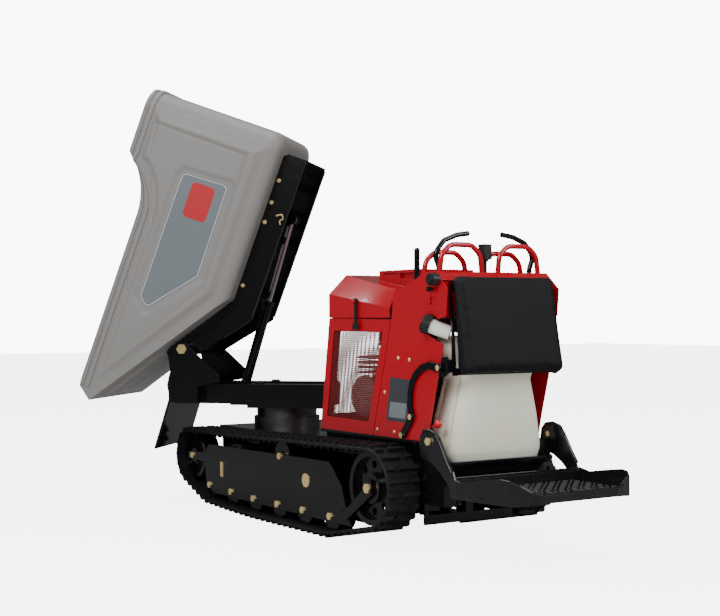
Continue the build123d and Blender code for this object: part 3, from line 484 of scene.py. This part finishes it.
def beltPath(circles, grow, count):
    # convex outline round all the wheels, each grown by the same amount, as evenly spaced points
    turn = np.linspace(0, 2 * np.pi, 361)[:-1]
    rings = [np.c_[x + (r + grow) * np.cos(turn), z + (r + grow) * np.sin(turn)] for x, z, r in circles]
    cloud = np.concatenate(rings)
    cloud = cloud[np.lexsort((cloud[:, 1], cloud[:, 0]))]
    halves = []
    for points in (cloud, cloud[::-1]):
        hull = []
        for p in points:
            while len(hull) > 1:
                a, b = hull[-1] - hull[-2], p - hull[-2]
                if a[0] * b[1] - a[1] * b[0] > 0:
                    break
                hull.pop()
            hull.append(p)
        halves += hull[:-1]
    line = np.array(halves + halves[:1])
    travel = np.r_[0, np.cumsum(np.hypot(*np.diff(line, axis=0).T))]
    at = np.linspace(0, travel[-1], count + 1)[:-1]
    return np.c_[np.interp(at, travel, line[:, 0]), np.interp(at, travel, line[:, 1])], travel[-1]


def makeBelt(side):
    # a chamfered strip carried round the wheels, with lugs outside and guide teeth inside
    s = belt
    low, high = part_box(f"track_belt_{side}")
    circles = wheelCircles(side)
    inner, length = beltPath(circles, s["slack"], s["steps"])
    tangent = np.roll(inner, -1, 0) - np.roll(inner, 1, 0)
    tangent /= np.hypot(*tangent.T)[:, None]
    outward = np.c_[tangent[:, 1], -tangent[:, 0]]
    width = high.y - low.y
    deep, edge = s["carcass"], s["edge"]
    profile = np.array([
        (0, 0), (0, deep - edge), (edge, deep), (width - edge, deep), (width, deep - edge), (width, 0),
    ])
    ring = inner[:, None] + outward[:, None] * profile[None, :, 1:2]
    verts = np.stack([ring[..., 0], np.broadcast_to(low.y + profile[:, 0], ring.shape[:2]), ring[..., 1]], -1)
    carcass = verts.reshape(-1, 3), gridFaces(s["steps"], len(profile), True, True)
    count = int(round(length / s["lugPitch"] / 2)) * 2
    base, _ = beltPath(circles, s["slack"] + s["carcass"] - s["sunk"], count)
    heading = np.roll(base, -1, 0) - np.roll(base, 1, 0)
    heading /= np.hypot(*heading.T)[:, None]
    height = s["thickness"] - s["carcass"]
    places = {"long": [], "short": []}
    for n, (p, t) in enumerate(zip(base, heading)):
        xAxis, zAxis = np.array((t[0], 0, t[1])), np.array((t[1], 0, -t[0]))
        yAxis = np.cross(zAxis, xAxis)
        for kind, share in (("long", s["longShare"]), ("short", s["shortShare"])):
            fromLow = (n % 2 == 0) == (kind == "long")
            inset = width * share / 2 + s["lugInset"]
            y = low.y + inset if fromLow else high.y - inset
            places[kind].append(placeAt((p[0], y, p[1]), xAxis, yAxis, zAxis))
    parts = [carcass]
    for kind, share in (("long", s["longShare"]), ("short", s["shortShare"])):
        block = taperedBlock(s["lugLength"], width * share, height, s["taper"])
        parts.append(repeated(block, boxFaces, places[kind]))
    # guide teeth under the top run, away from the idler, the drive wheel and the carrier roller
    carrier = middle(f"carrier_roller_{side}").x
    first, last = circles[0][0] + s["toothClear"], circles[1][0] - s["toothClear"]
    toothPlaces = []
    for p, t in zip(base, heading):
        if p[1] < s["topRun"] or not first < p[0] < last or abs(p[0] - carrier) < s["carrierClear"]:
            continue
        zAxis = np.array((-t[1], 0, t[0]))
        xAxis = np.array((t[0], 0, t[1]))
        if zAxis[2] > 0:
            zAxis, xAxis = -zAxis, -xAxis
        centre = np.array((p[0], (low.y + high.y) / 2, p[1])) + zAxis * (s["carcass"] - 0.002)
        toothPlaces.append(placeAt(centre, xAxis, np.cross(zAxis, xAxis), zAxis))
    toothLength, toothWidth, toothTaper = s["tooth"]
    tooth = taperedBlock(toothLength, toothWidth, s["toothHeight"], toothTaper)
    parts.append(repeated(tooth, boxFaces, toothPlaces))
    verts, faces, start = [], [], 0
    for v, f in parts:
        verts.append(v)
        faces.append(np.asarray(f) + start)
        start += len(v)
    verts, faces = np.concatenate(verts), np.concatenate(faces)
    piece = addPiece(f"rubber_belt_{side}", verts, faces, "beltRubber", "chassis", True, 30)
    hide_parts(f"track_belt_{side}")


# ---- tub relief, rim and decals ----
tiltJoint = joints["tub_tilt"]
pivot = np.array(tiltJoint["pos_m"])
sideAxis = np.array(tiltJoint["axis"], float)
tilt = math.radians(70)  # the shown dump angle
aheadAxis = np.cross(np.array((0, 0, 1.0)), sideAxis)
forwardAxis = aheadAxis * math.cos(tilt) - np.array((0, 0, 1)) * math.sin(tilt)
upAxis = aheadAxis * math.sin(tilt) + np.array((0, 0, 1)) * math.cos(tilt)
tub = {
    "rear": -1.200, "floor": -0.158, "knee": -0.325, "lip": (0.400, 0.345),
    "rimFront": 0.416, "rimRear": 0.558, "rimWidth": 0.050, "rimProud": 0.010,
    "bandStart": 0.335, "bandCorner": 0.1,
    "notch": -0.571, "notchRadius": 0.370, "floorHalf": 0.330, "rimHalf": 0.388,
    "field": [
        (-1.045, 0.475), (-1.040, -0.020), (-0.330, -0.030), (0.245, 0.335),
        (-0.560, 0.335), (-0.700, 0.375), (-0.850, 0.460),
    ],
    "fieldDepth": 0.009, "raise": 0.017,
    "plate": [
        (-0.853, 0.253), (-0.863, 0.018), (-0.382, 0.015),
        (-0.142, 0.216), (-0.189, 0.268), (-0.822, 0.265),
    ],
    "plateDepth": 0.022,
    "badge": [(-0.825, 0.196), (-0.825, 0.074), (-0.645, 0.074), (-0.645, 0.196)],
}


def tubPoints(forward, up, side):
    # pivot, plus so far forwards, upwards and sideways along the tub's own axes
    f, u, w = np.broadcast_arrays(forward, up, side)
    return pivot + f[..., None] * forwardAxis + u[..., None] * upAxis + w[..., None] * sideAxis


def halfWidth(up):
    # the side wall's distance from the middle, growing evenly from floor to rim
    share = (up - tub["floor"]) / (tub["rimRear"] - tub["floor"])
    return tub["floorHalf"] + (tub["rimHalf"] - tub["floorHalf"]) * share


def polygonDistance(px, py, corners):
    # signed distance to a closed outline, negative inside
    corners = np.array(corners)
    best = np.full(px.shape, 1e9)
    inside = np.zeros(px.shape, bool)
    for a, b in zip(corners, np.roll(corners, -1, 0)):
        edge = b - a
        share = np.clip(((px - a[0]) * edge[0] + (py - a[1]) * edge[1]) / (edge @ edge), 0, 1)
        best = np.minimum(best, np.hypot(px - a[0] - share * edge[0], py - a[1] - share * edge[1]))
        crossing = (b[0] - a[0]) * (py - a[1]) / (b[1] - a[1] + 1e-12) + a[0]
        inside ^= ((a[1] > py) != (b[1] > py)) & (px < crossing)
    return np.where(inside, -best, best)


def rimHeight(forward):
    # the rim seen from the side: high at the rear, an arc down to the front rim
    rise = tub["rimRear"] - tub["rimFront"]
    r = tub["notchRadius"]
    drop = tub["rimFront"] + r - np.sqrt(np.clip(r ** 2 - (forward - tub["notch"]) ** 2, 0, None))
    arcRun = math.sqrt(r ** 2 - (r - rise) ** 2)
    lower = np.where(forward < tub["notch"], drop, tub["rimFront"])
    return np.where(forward < tub["notch"] - arcRun, tub["rimRear"], lower)


def smoothStep(value, low, high):
    # 0 below low, 1 above high, an S curve between
    t = np.clip((value - low) / (high - low), 0, 1)
    return t * t * (3 - 2 * t)


def reliefHeight(forward, up):
    # border stands proud, the field inside it is sunk, and the decal's pocket is sunk again
    kneeLine = (tub["lip"][1] - tub["floor"]) / (tub["lip"][0] - tub["knee"])
    bottom = np.maximum(tub["floor"], tub["floor"] + (forward - tub["knee"]) * kneeLine)
    spout = 0.345 + (up - 0.345) * -0.4 - forward
    edge = np.minimum.reduce([
        up - bottom - 0.055, rimHeight(forward) - up - 0.058, forward - tub["rear"] - 0.095, spout,
    ])
    border = smoothStep(edge, 0.0, 0.05)
    field = smoothStep(-polygonDistance(forward, up, tub["field"]), -0.006, 0.008)
    pocket = smoothStep(-polygonDistance(forward, up, tub["plate"]), -0.040, -0.012)
    height = tub["raise"] * border - (tub["fieldDepth"] * field) * 0.75 - tub["plateDepth"] * pocket * 0.35
    bead = np.exp(-(polygonDistance(forward, up, tub["field"]) / 0.012) ** 2)
    return np.where(edge > 0, np.maximum(height, 0.0012) - 0.0022 * bead * border, -0.0015), edge


def makeRelief(label, sign):
    # the side wall's raised and sunk faces, as a height over a forward by up grid
    f = np.linspace(tub["rear"] + 0.08, tub["lip"][0] - 0.04, 300)
    u = np.linspace(tub["floor"] + 0.04, tub["rimRear"] - 0.04, 150)
    forward, up = np.meshgrid(f, u, indexing="ij")
    height, edge = reliefHeight(forward, up)
    verts = tubPoints(forward, up, sign * (halfWidth(up) + height)).reshape(-1, 3)
    faces = gridFaces(len(f), len(u))
    keep = (edge.ravel()[faces] > -0.006).all(1)
    faces = faces[keep]
    used, back = np.unique(faces, return_inverse=True)
    faces = back.reshape(faces.shape)
    if sign > 0:
        faces = faces[:, ::-1]
    addPiece(f"tub_relief_{label}", verts[used], faces, "tubPlastic", "tub", True, 60)


def outlinePlate(name, corners, offset, depth, sign, finish, body, slot, place, round_=0.0, hole=None):
    # a thin plate whose corners are rounded by arcs, standing off the surface by offset
    points = roundedOutline(corners, round_)
    count = len(points)
    outer = place(points[:, 0], points[:, 1], sign, offset + depth)
    inner = place(points[:, 0], points[:, 1], sign, offset)
    if hole is not None:
        gap = roundedOutline(hole, round_)
        outerGap = place(gap[:, 0], gap[:, 1], sign, offset + depth)
        verts = np.concatenate([outer, inner, outerGap])
        a = np.arange(count)
        b = (a + 1) % count
        top = np.stack([a, b, b + 2 * count, a + 2 * count], 1)
        side = np.stack([a + count, b + count, b, a], 1)
        return addPiece(name, verts, np.concatenate([top, side]), finish, body, False)
    a = np.arange(count)
    b = (a + 1) % count
    faces = [*np.stack([a, b, b + count, a + count], 1).tolist(), list(range(count))]
    return addPiece(name, np.concatenate([outer, inner]), faces, finish, body, False)


def roundedOutline(corners, radius, steps=6):
    # each corner becomes an arc tangent to its two sides
    corners = np.array(corners, float)
    if radius <= 0:
        return corners
    points = []
    for before, at, after in zip(np.roll(corners, 1, 0), corners, np.roll(corners, -1, 0)):
        a, b = before - at, after - at
        a, b = a / np.hypot(*a), b / np.hypot(*b)
        half = math.acos(np.clip(a @ b, -1, 1)) / 2
        run = radius / math.tan(half)
        centre = at + (a + b) / np.hypot(*(a + b)) * radius / math.sin(half)
        start, end = at + a * run - centre, at + b * run - centre
        turn = math.atan2(start[0] * end[1] - start[1] * end[0], start @ end)
        for t in np.linspace(0, turn, steps):
            c, s = math.cos(t), math.sin(t)
            points.append(centre + (start[0] * c - start[1] * s, start[0] * s + start[1] * c))
    return np.array(points)


def grow(corners, amount):
    # the outline with every side moved outwards by amount
    corners = np.array(corners, float)
    area = np.sum(corners[:, 0] * np.roll(corners[:, 1], -1) - corners[:, 1] * np.roll(corners[:, 0], -1))
    sign = 1 if area > 0 else -1
    moved = []
    for before, at, after in zip(np.roll(corners, 1, 0), corners, np.roll(corners, -1, 0)):
        a, b = at - before, after - at
        a, b = a / np.hypot(*a), b / np.hypot(*b)
        na, nb = sign * np.array((a[1], -a[0])), sign * np.array((b[1], -b[0]))
        bisector = na + nb
        moved.append(at + bisector * amount * 2 / (bisector @ bisector))
    return np.array(moved)


def onTubSide(forward, up, sign, offset):
    # points standing off the tub's side wall
    return tubPoints(forward, up, sign * (halfWidth(up) + offset))


def makeTubDecals():
    # a plate in its pocket, a pale line round the plate's edge, and a plain rounded badge on it
    edge = grow(tub["plate"], -0.004)
    kind = ("tub", "tub_plastic", onTubSide)
    for label, sign in (("left", -1), ("right", 1)):
        outlinePlate(f"tub_decal_{label}", tub["plate"], 0.001, 0.0022, sign, "decalPlate", *kind, 0.022)
        outlinePlate(f"tub_decal_line_{label}", edge, 0.0033, 0.0004, sign, "decalWhite", *kind, 0.020,
                     hole=grow(edge, -0.003))
        outlinePlate(f"tub_badge_{label}", tub["badge"], 0.0033, 0.0008, sign, "decalRed", *kind, 0.022)


def makeRim():
    # a proud band with a groove, carried round the tub's open edge
    corner = tub["bandCorner"]
    rearRun = np.linspace(tub["notch"], tub["rear"] + corner, 70)[1:]
    forward = np.r_[np.linspace(tub["bandStart"], tub["notch"], 30), rearRun]
    height = rimHeight(forward)
    turn = np.linspace(0, np.pi / 2, 12)[1:]
    topHalf = halfWidth(np.array(tub["rimRear"]))
    cornerF = tub["rear"] + corner - corner * np.sin(turn)
    cornerW = topHalf - corner + corner * np.cos(turn)
    f = np.r_[forward, cornerF]
    u = np.r_[height, np.full(len(turn), tub["rimRear"])]
    w = np.r_[halfWidth(height), cornerW]
    nf = np.r_[np.zeros(len(forward)), -np.sin(turn)]
    nw = np.r_[np.ones(len(forward)), np.cos(turn)]
    f, u, w, nf, nw = [np.r_[v, sign * v[::-1]] for v, sign in ((f, 1), (u, 1), (w, -1), (nf, 1), (nw, -1))]
    slopeF, slopeU = np.gradient(f), np.gradient(u)
    reach = np.hypot(slopeF, slopeU) + 1e-9
    downF, downU = slopeU / reach, -np.abs(slopeF) / reach
    onRear = np.abs(nf) > 0.02
    downF = np.where(onRear, 0, np.where(np.arange(len(f)) < len(f) / 2, downF, -downF))
    downU = np.where(onRear, -1, downU)
    p, b = tub["rimProud"], tub["rimWidth"]
    profile = np.array([
        (-0.004, -0.001), (p * 0.6, -0.001), (p, 0.004), (p, b * 0.36), (p * 0.35, b * 0.44),
        (p * 0.35, b * 0.56), (p, b * 0.64), (p, b * 0.94), (p * 0.6, b), (-0.002, b + 0.003),
    ])
    proud, drop = profile[:, 0], profile[:, 1]
    flare = (tub["rimHalf"] - tub["floorHalf"]) / (tub["rimRear"] - tub["floor"])
    ff = f[:, None] + nf[:, None] * proud + downF[:, None] * drop
    uu = u[:, None] + downU[:, None] * drop
    leaning = (np.sign(nw) * (np.abs(nw) > 0.02))[:, None]
    ww = w[:, None] + nw[:, None] * proud + leaning * flare * downU[:, None] * drop
    verts = tubPoints(ff, uu, ww).reshape(-1, 3)
    faces = gridFaces(len(f), len(profile))
    addPiece("tub_rim_band", verts, faces[:, ::-1], "tubPlastic", "tub", True, 50)


ribs = {"half": 0.27, "height": 0.012, "start": 0.42, "end": 0.97, "waves": 3.0, "proud": 0.0008}


def makeSpoutRibs():
    # long ribs under the sloping front of the tub: a flattened cosine across, faded at both ends
    along = np.linspace(ribs["start"], ribs["end"], 60)
    across = np.linspace(-ribs["half"], ribs["half"], 120)
    s, w = np.meshgrid(along, across, indexing="ij")
    ends = smoothStep(s, 0.43, 0.52) * smoothStep(-s, -0.96, -0.90)
    rib = np.clip(np.cos(w / ribs["half"] * np.pi * ribs["waves"]) * 1.6, -1, 1) * 0.5 + 0.5
    height = ribs["height"] * rib * ends + ribs["proud"]
    lineF, lineU = tub["lip"][0] - tub["knee"], tub["lip"][1] - tub["floor"]
    length = math.hypot(lineF, lineU)
    f = tub["knee"] + s * lineF + height * lineU / length
    u = tub["floor"] + s * lineU - height * lineF / length
    verts = tubPoints(f, u, w).reshape(-1, 3)
    addPiece("spout_ribs", verts, gridFaces(60, 120), "tubPlastic", "tub", True, 60)


# ---- thigh pad ----
pad = {
    "inset": 0.003, "round": 0.030, "rearLean": 0.077, "frontLean": 0.036,
    "voxel": 0.006, "pressure": 4.0, "frames": 20, "cap": 0.008,
}


def padFront(z, low, high):
    # the pad's leaning front face, which lies on its frame
    return low.x + pad["frontLean"] * (high.z - z) / (high.z - low.z)


def inflate(piece):
    # cloth with air pressure inside, run for a few frames; no point moves further than the cap
    s = pad
    rest = meshPoints(piece.data)
    cloth = piece.modifiers.new("cushionCloth", "CLOTH")
    cloth.settings.use_pressure = True
    cloth.settings.uniform_pressure_force = s["pressure"]
    cloth.settings.effector_weights.gravity = 0
    cloth.point_cache.frame_end = s["frames"]
    scene = bpy.context.scene
    for step in range(1, s["frames"] + 1):
        scene.frame_set(step)
    swollen = piece.evaluated_get(bpy.context.evaluated_depsgraph_get()).data
    moved = meshPoints(swollen)
    piece.modifiers.remove(cloth)
    scene.frame_set(1)
    shift = moved - rest
    reach = np.linalg.norm(shift, axis=1, keepdims=True)
    return rest + shift * np.minimum(1, s["cap"] / np.maximum(reach, 1e-9))


def makePad():
    # a wedge between two leaning faces, its edges rounded, remeshed, and blown up a little
    s = pad
    low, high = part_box("thigh_pad")
    inset = s["inset"]
    work = bmesh.new()
    corners = []
    for z in (low.z + inset, high.z - inset):
        rear = high.x - s["rearLean"] * (z - low.z) / (high.z - low.z) - inset
        front = padFront(z, low, high)
        left, right = low.y + inset, high.y - inset
        for x, y in ((front, left), (rear, left), (rear, right), (front, right)):
            corners.append(work.verts.new((x, y, z)))
    for face in boxFaces:
        work.faces.new([corners[n] for n in face])
    bmesh.ops.recalc_face_normals(work, faces=work.faces)
    bmesh.ops.bevel(work, geom=work.edges[:], offset=s["round"], segments=5, profile=0.5, affect="EDGES")
    mesh = bpy.data.meshes.new("pad_cushion")
    work.to_mesh(mesh)
    work.free()
    piece = bpy.data.objects.new("pad_cushion", mesh)
    bpy.context.scene.collection.objects.link(piece)
    remesh = piece.modifiers.new("cushionVoxels", "REMESH")
    remesh.mode, remesh.voxel_size = "VOXEL", s["voxel"]
    fine = bpy.data.meshes.new_from_object(piece.evaluated_get(bpy.context.evaluated_depsgraph_get()))
    piece.modifiers.remove(remesh)
    piece.data = fine
    points = inflate(piece)
    points[:, 0] = np.maximum(points[:, 0], padFront(points[:, 2], low, high))
    fine.vertices.foreach_set("co", points.ravel())
    fine.update()
    fine.shade_smooth()
    fine.materials.clear()
    fine.materials.append(materials["padVinyl"])
    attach(piece, "chassis")
    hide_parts("thigh_pad")


# ---- fluid tank ----
tank = {
    # height above the tank's foot, front, rear, half width
    "levels": [
        (0.000, 0.156, 0.330, 0.228), (0.020, 0.150, 0.338, 0.240), (0.060, 0.150, 0.340, 0.240),
        (0.185, 0.150, 0.345, 0.216), (0.330, 0.160, 0.350, 0.176), (0.362, 0.180, 0.346, 0.200),
        (0.392, 0.180, 0.330, 0.234), (0.490, 0.180, 0.330, 0.234), (0.504, 0.190, 0.322, 0.220),
    ],
    "square": 6.0, "ridgeDepth": 0.004, "ridgePitch": 0.030, "foremost": 0.150,
}


def makeTank():
    # super-ellipse sections that follow the levels' half widths, with upright ridges on the left side
    s = tank
    low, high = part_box("fluid_tank")
    tankX = low.x - s["foremost"]
    rows, columns = 90, 160
    levels = np.array(s["levels"])
    t = np.linspace(0, levels[-1, 0], rows)
    x0, x1, half = [np.interp(t, levels[:, 0], levels[:, c]) for c in (1, 2, 3)]
    for array in (x0, x1, half):
        array[:] = np.convolve(np.pad(array, 3, mode="edge"), np.ones(7) / 7, mode="valid")
    turn = np.linspace(0, 2 * np.pi, columns + 1)[:-1]
    c, n = np.cos(turn), np.sin(turn)
    cx = np.sign(c) * np.abs(c) ** (2 / s["square"])
    cy = np.sign(n) * np.abs(n) ** (2 / s["square"])
    x = tankX + ((x0 + x1) / 2)[:, None] + ((x1 - x0) / 2)[:, None] * cx
    yMid = (low.y + high.y) / 2
    y = yMid + half[:, None] * cy
    ridge = s["ridgeDepth"] * np.cos((x - tankX) / s["ridgePitch"] * 2 * np.pi) * smoothStep(-cy, 0.85, 0.98)
    band = (smoothStep(t, 0.08, 0.14) * smoothStep(-t, -0.36, -0.30))[:, None]
    y = y + ridge * band
    z = np.broadcast_to((low.z + t)[:, None], x.shape)
    verts = np.stack([x, y, z], -1).reshape(-1, 3)
    faces = gridFaces(rows, columns, False, True).tolist()
    faces.append(list(range(columns))[::-1])
    faces.append([(rows - 1) * columns + k for k in range(columns)])
    piece = addPiece("tank_body", verts, faces, "tankPlastic", "chassis", True, 60)
    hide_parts("fluid_tank")


# ---- platform tread ----
tread = {
    "pitch": 0.034, "length": 0.022, "width": 0.007, "height": 0.0026, "taper": 0.0018, "sunk": 0.0002,
    "front": 0.345, "rear": 0.035, "half": 0.285, "narrowing": 0.10, "narrowRun": 0.12,
}


def makeTread():
    # short bars in two directions, staggered over the tread plate
    s = tread
    low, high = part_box("platform")
    top = frame["record"]["mounts"][2]["pos_m"][2]
    xs = np.arange(high.x - s["front"], high.x - s["rear"], s["pitch"])
    mid = (low.y + high.y) / 2
    bar = taperedBlock(s["length"], s["width"], s["height"], s["taper"])
    places = []
    for i, x in enumerate(xs):
        nearRear = max(0.0, (x - high.x + s["narrowRun"]) / s["narrowRun"])
        reach = s["half"] - s["narrowing"] * nearRear
        for j, y in enumerate(np.arange(-reach, reach, s["pitch"])):
            angle = math.radians(45 if (i + j) % 2 else -45)
            c, n = math.cos(angle), math.sin(angle)
            places.append(placeAt((x, mid + y, top - s["sunk"]), (c, n, 0), (-n, c, 0), (0, 0, 1)))
    verts, faces = repeated(bar, boxFaces, places)
    addPiece("tread_bars", verts, faces, "treadGrip", "platform", False)


# ---- tower and cowl trim ----
originX, originY = 0.782, 0.261  # where the tower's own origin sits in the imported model
tower = {
    "side": 0.294, "rivetSide": 0.2955,
    "plate": [(-0.066, 0.523), (0.081, 0.520), (0.118, 0.699), (-0.035, 0.706)],
    "field": [(-0.048, 0.537), (0.074, 0.535), (0.086, 0.600), (-0.036, 0.603)],
}


def machineY(y):
    # the tower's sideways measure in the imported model's frame
    return y + originY


def onTowerSide(x, z, sign, offset):
    # points standing off the tower's side plate
    faceY = machineY(sign * tower["side"])
    return np.stack([x + originX, np.full_like(x, faceY + sign * offset), z], -1)


def makeTowerDecals():
    # a plain dark plate with a paler field, on both sides of the tower
    plate, field = tower["plate"], tower["field"]
    for label, sign in (("left", -1), ("right", 1)):
        kind = ("chassis", "black_plastic", onTowerSide)
        outlinePlate(f"tower_decal_{label}", plate, 0.0002, 0.0008, sign, "decalDark", *kind, 0.006)
        outlinePlate(f"tower_decal_field_{label}", field, 0.0010, 0.0003, sign, "decalPlate", *kind, 0.003)


engineTrim = {
    "coverZ": 0.61, "ribDepth": 0.003, "ribCount": 12, "finCount": 4, "finY": -0.131, "firstFinZ": 0.715,
    "finPitch": 0.022, "fin": (0.17, 0.012, 0.10, 0.001),
    "coverRadius": [0.0, 0.050, 0.082, 0.090, 0.094, 0.094],
    "coverDepth": [0.034, 0.034, 0.028, 0.020, 0.010, 0.0],
}


def makeEngineParts():
    # a pull-start cover, turned from a profile with a cosine ripple, and light fins
    e = engineTrim
    mid = middle("engine")
    low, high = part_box("engine")
    turn = np.linspace(0, 2 * np.pi, 49)[:-1]
    radius, depth = np.array(e["coverRadius"]), np.array(e["coverDepth"])
    r, t = np.meshgrid(radius, turn, indexing="ij")
    ripple = e["ribDepth"] * np.cos(t * e["ribCount"]) * (r > 0.04) * (r < 0.09)
    d = np.repeat(depth[:, None], len(turn), 1) + ripple
    for label, sign, face in (("left", -1, low.y), ("right", 1, high.y)):
        x, y, z = mid.x + r * np.cos(t), face + sign * d, e["coverZ"] + r * np.sin(t)
        verts = np.stack([x, y, z], -1).reshape(-1, 3)
        faces = gridFaces(len(radius), len(turn), False, True)
        faces = faces if sign > 0 else faces[:, ::-1]
        addPiece(f"starter_cover_{label}", verts, faces, "engineTag", "chassis", True, 40)
    fins = taperedBlock(*e["fin"])
    heights = [e["firstFinZ"] + n * e["finPitch"] for n in range(e["finCount"])]
    finY = machineY(e["finY"])
    places = [placeAt((mid.x, finY, z), (1, 0, 0), (0, 0, 1), (0, -1, 0)) for z in heights]
    verts, faces = repeated(fins, boxFaces, places)
    addPiece("cylinder_fins", verts, faces, "engineTag", "chassis", False)


rivets = {
    "radius": 0.0085, "height": 0.005, "barRadius": 0.0125, "barHeight": 0.004,
    "tower": [
        (0.025, 0.788), (0.105, 0.782), (-0.077, 0.641), (-0.135, 0.478), (-0.007, 0.476), (0.052, 0.468),
    ],
    "bars": [(0.323, 0.756), (0.129, 0.548), (0.064, 0.468)],
}


def dome(radius, height, rings=5, sides=16):
    # a shallow round head: height falls with the square of the distance from its middle
    share = np.linspace(0.001, 1, rings)
    turn = np.linspace(0, 2 * np.pi, sides + 1)[:-1]
    r, t = np.meshgrid(share, turn, indexing="ij")
    verts = np.stack([radius * r * np.cos(t), radius * r * np.sin(t), height * (1 - r ** 2)], -1)
    return verts.reshape(-1, 3), gridFaces(rings, sides, False, True)


def makeRivets():
    # small heads on the tower's sides and larger ones on the curved side bars
    low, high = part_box("side_bars")
    for label, sign, barFace in (("left", -1, low.y), ("right", 1, high.y)):
        axes = (1, 0, 0), (0, 0, -sign), (0, sign, 0)
        small = dome(rivets["radius"], rivets["height"])
        towerFace = machineY(sign * tower["rivetSide"])
        places = [placeAt((x + originX, towerFace, z), *axes) for x, z in rivets["tower"]]
        verts, faces = repeated(*small, places)
        addPiece(f"tower_rivets_{label}", verts, faces, "zincPlate", "chassis", True, 60)
        places = [placeAt((x + originX, barFace + sign * 0.0002, z), *axes) for x, z in rivets["bars"]]
        verts, faces = repeated(*dome(rivets["barRadius"], rivets["barHeight"]), places)
        addPiece(f"bar_bolt_caps_{label}", verts, faces, "zincPlate", "chassis", True, 60)


seal = {
    "thick": 0.004, "bottom": 0.944, "top": 0.968, "front": 0.0062, "rear": 0.0045, "side": 0.003,
    "corner": 0.006,
}


def makeHoodSeal():
    # an upright rubber strip just inside the join between the cowl and the hood
    s = seal
    low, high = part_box("cowl_mesh")
    hoodLow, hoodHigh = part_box("hood")
    x0, x1 = hoodLow.x + s["front"], hoodHigh.x - s["rear"]
    y0, y1 = low.y + s["side"], high.y - s["side"]
    corners = [(x0, y0), (x1, y0), (x1, y1), (x0, y1)]
    outer = roundedOutline(corners, s["corner"])
    inner = roundedOutline(grow(corners, -s["thick"]), s["corner"] - s["thick"])
    rings = [(outer, s["bottom"]), (outer, s["top"]), (inner, s["top"]), (inner, s["bottom"])]
    verts = np.concatenate([np.c_[ring, np.full(len(ring), z)] for ring, z in rings])
    faces = gridFaces(4, len(outer), True, True)[:, ::-1]
    addPiece("hood_seal", verts, faces, "latchRubber", "chassis", False)


def makeFloor():
    # a wide sheet of pale paper, bright to the camera and dimmer in reflections
    size = backdrop["floorSize"]
    mesh = bpy.data.meshes.new("studioFloor")
    corners = [(-size, -size, 0), (size, -size, 0), (size, size, 0), (-size, size, 0)]
    mesh.from_pydata(corners, [], [(0, 1, 2, 3)])
    floor = bpy.data.objects.new("studioFloor", mesh)
    bpy.context.scene.collection.objects.link(floor)
    material = bpy.data.materials.new("studioPaper")
    material.use_nodes = True
    shader = material.node_tree.nodes["Principled BSDF"]
    shader.inputs["Roughness"].default_value = 0.9
    tree = material.node_tree
    path = addNode(tree, "ShaderNodeLightPath").outputs
    pale, dim = 0.93, backdrop["floorMirrored"]
    paper = mixOn(tree, path["Is Glossy Ray"], (pale, pale, pale, 1), (dim, dim, dim, 1))
    tree.links.new(paper, shader.inputs["Base Color"])
    shader.inputs["Emission Color"].default_value = (1, 1, 1, 1)
    glow = mathOn(tree, "MULTIPLY", path["Is Camera Ray"], backdrop["floorGlow"])
    tree.links.new(glow, shader.inputs["Emission Strength"])
    mesh.materials.append(material)


makeCamera(camera)
makeLights()
makeFloor()
print("camera, lights and floor made")
for finishName in finishes:
    makeMaterial(finishName)
dressNodes()
print("materials made,", len(materials))
for beltSide in ("left", "right"):
    makeBelt(beltSide)
print("belts made")
makeRelief("left", -1)
makeRelief("right", 1)
makeRim()
makeSpoutRibs()
makeTubDecals()
print("tub made")
makePad()
makeTank()
makeTread()
makeTowerDecals()
makeEngineParts()
makeRivets()
makeHoodSeal()
print("pad, tank, tread and trim made")
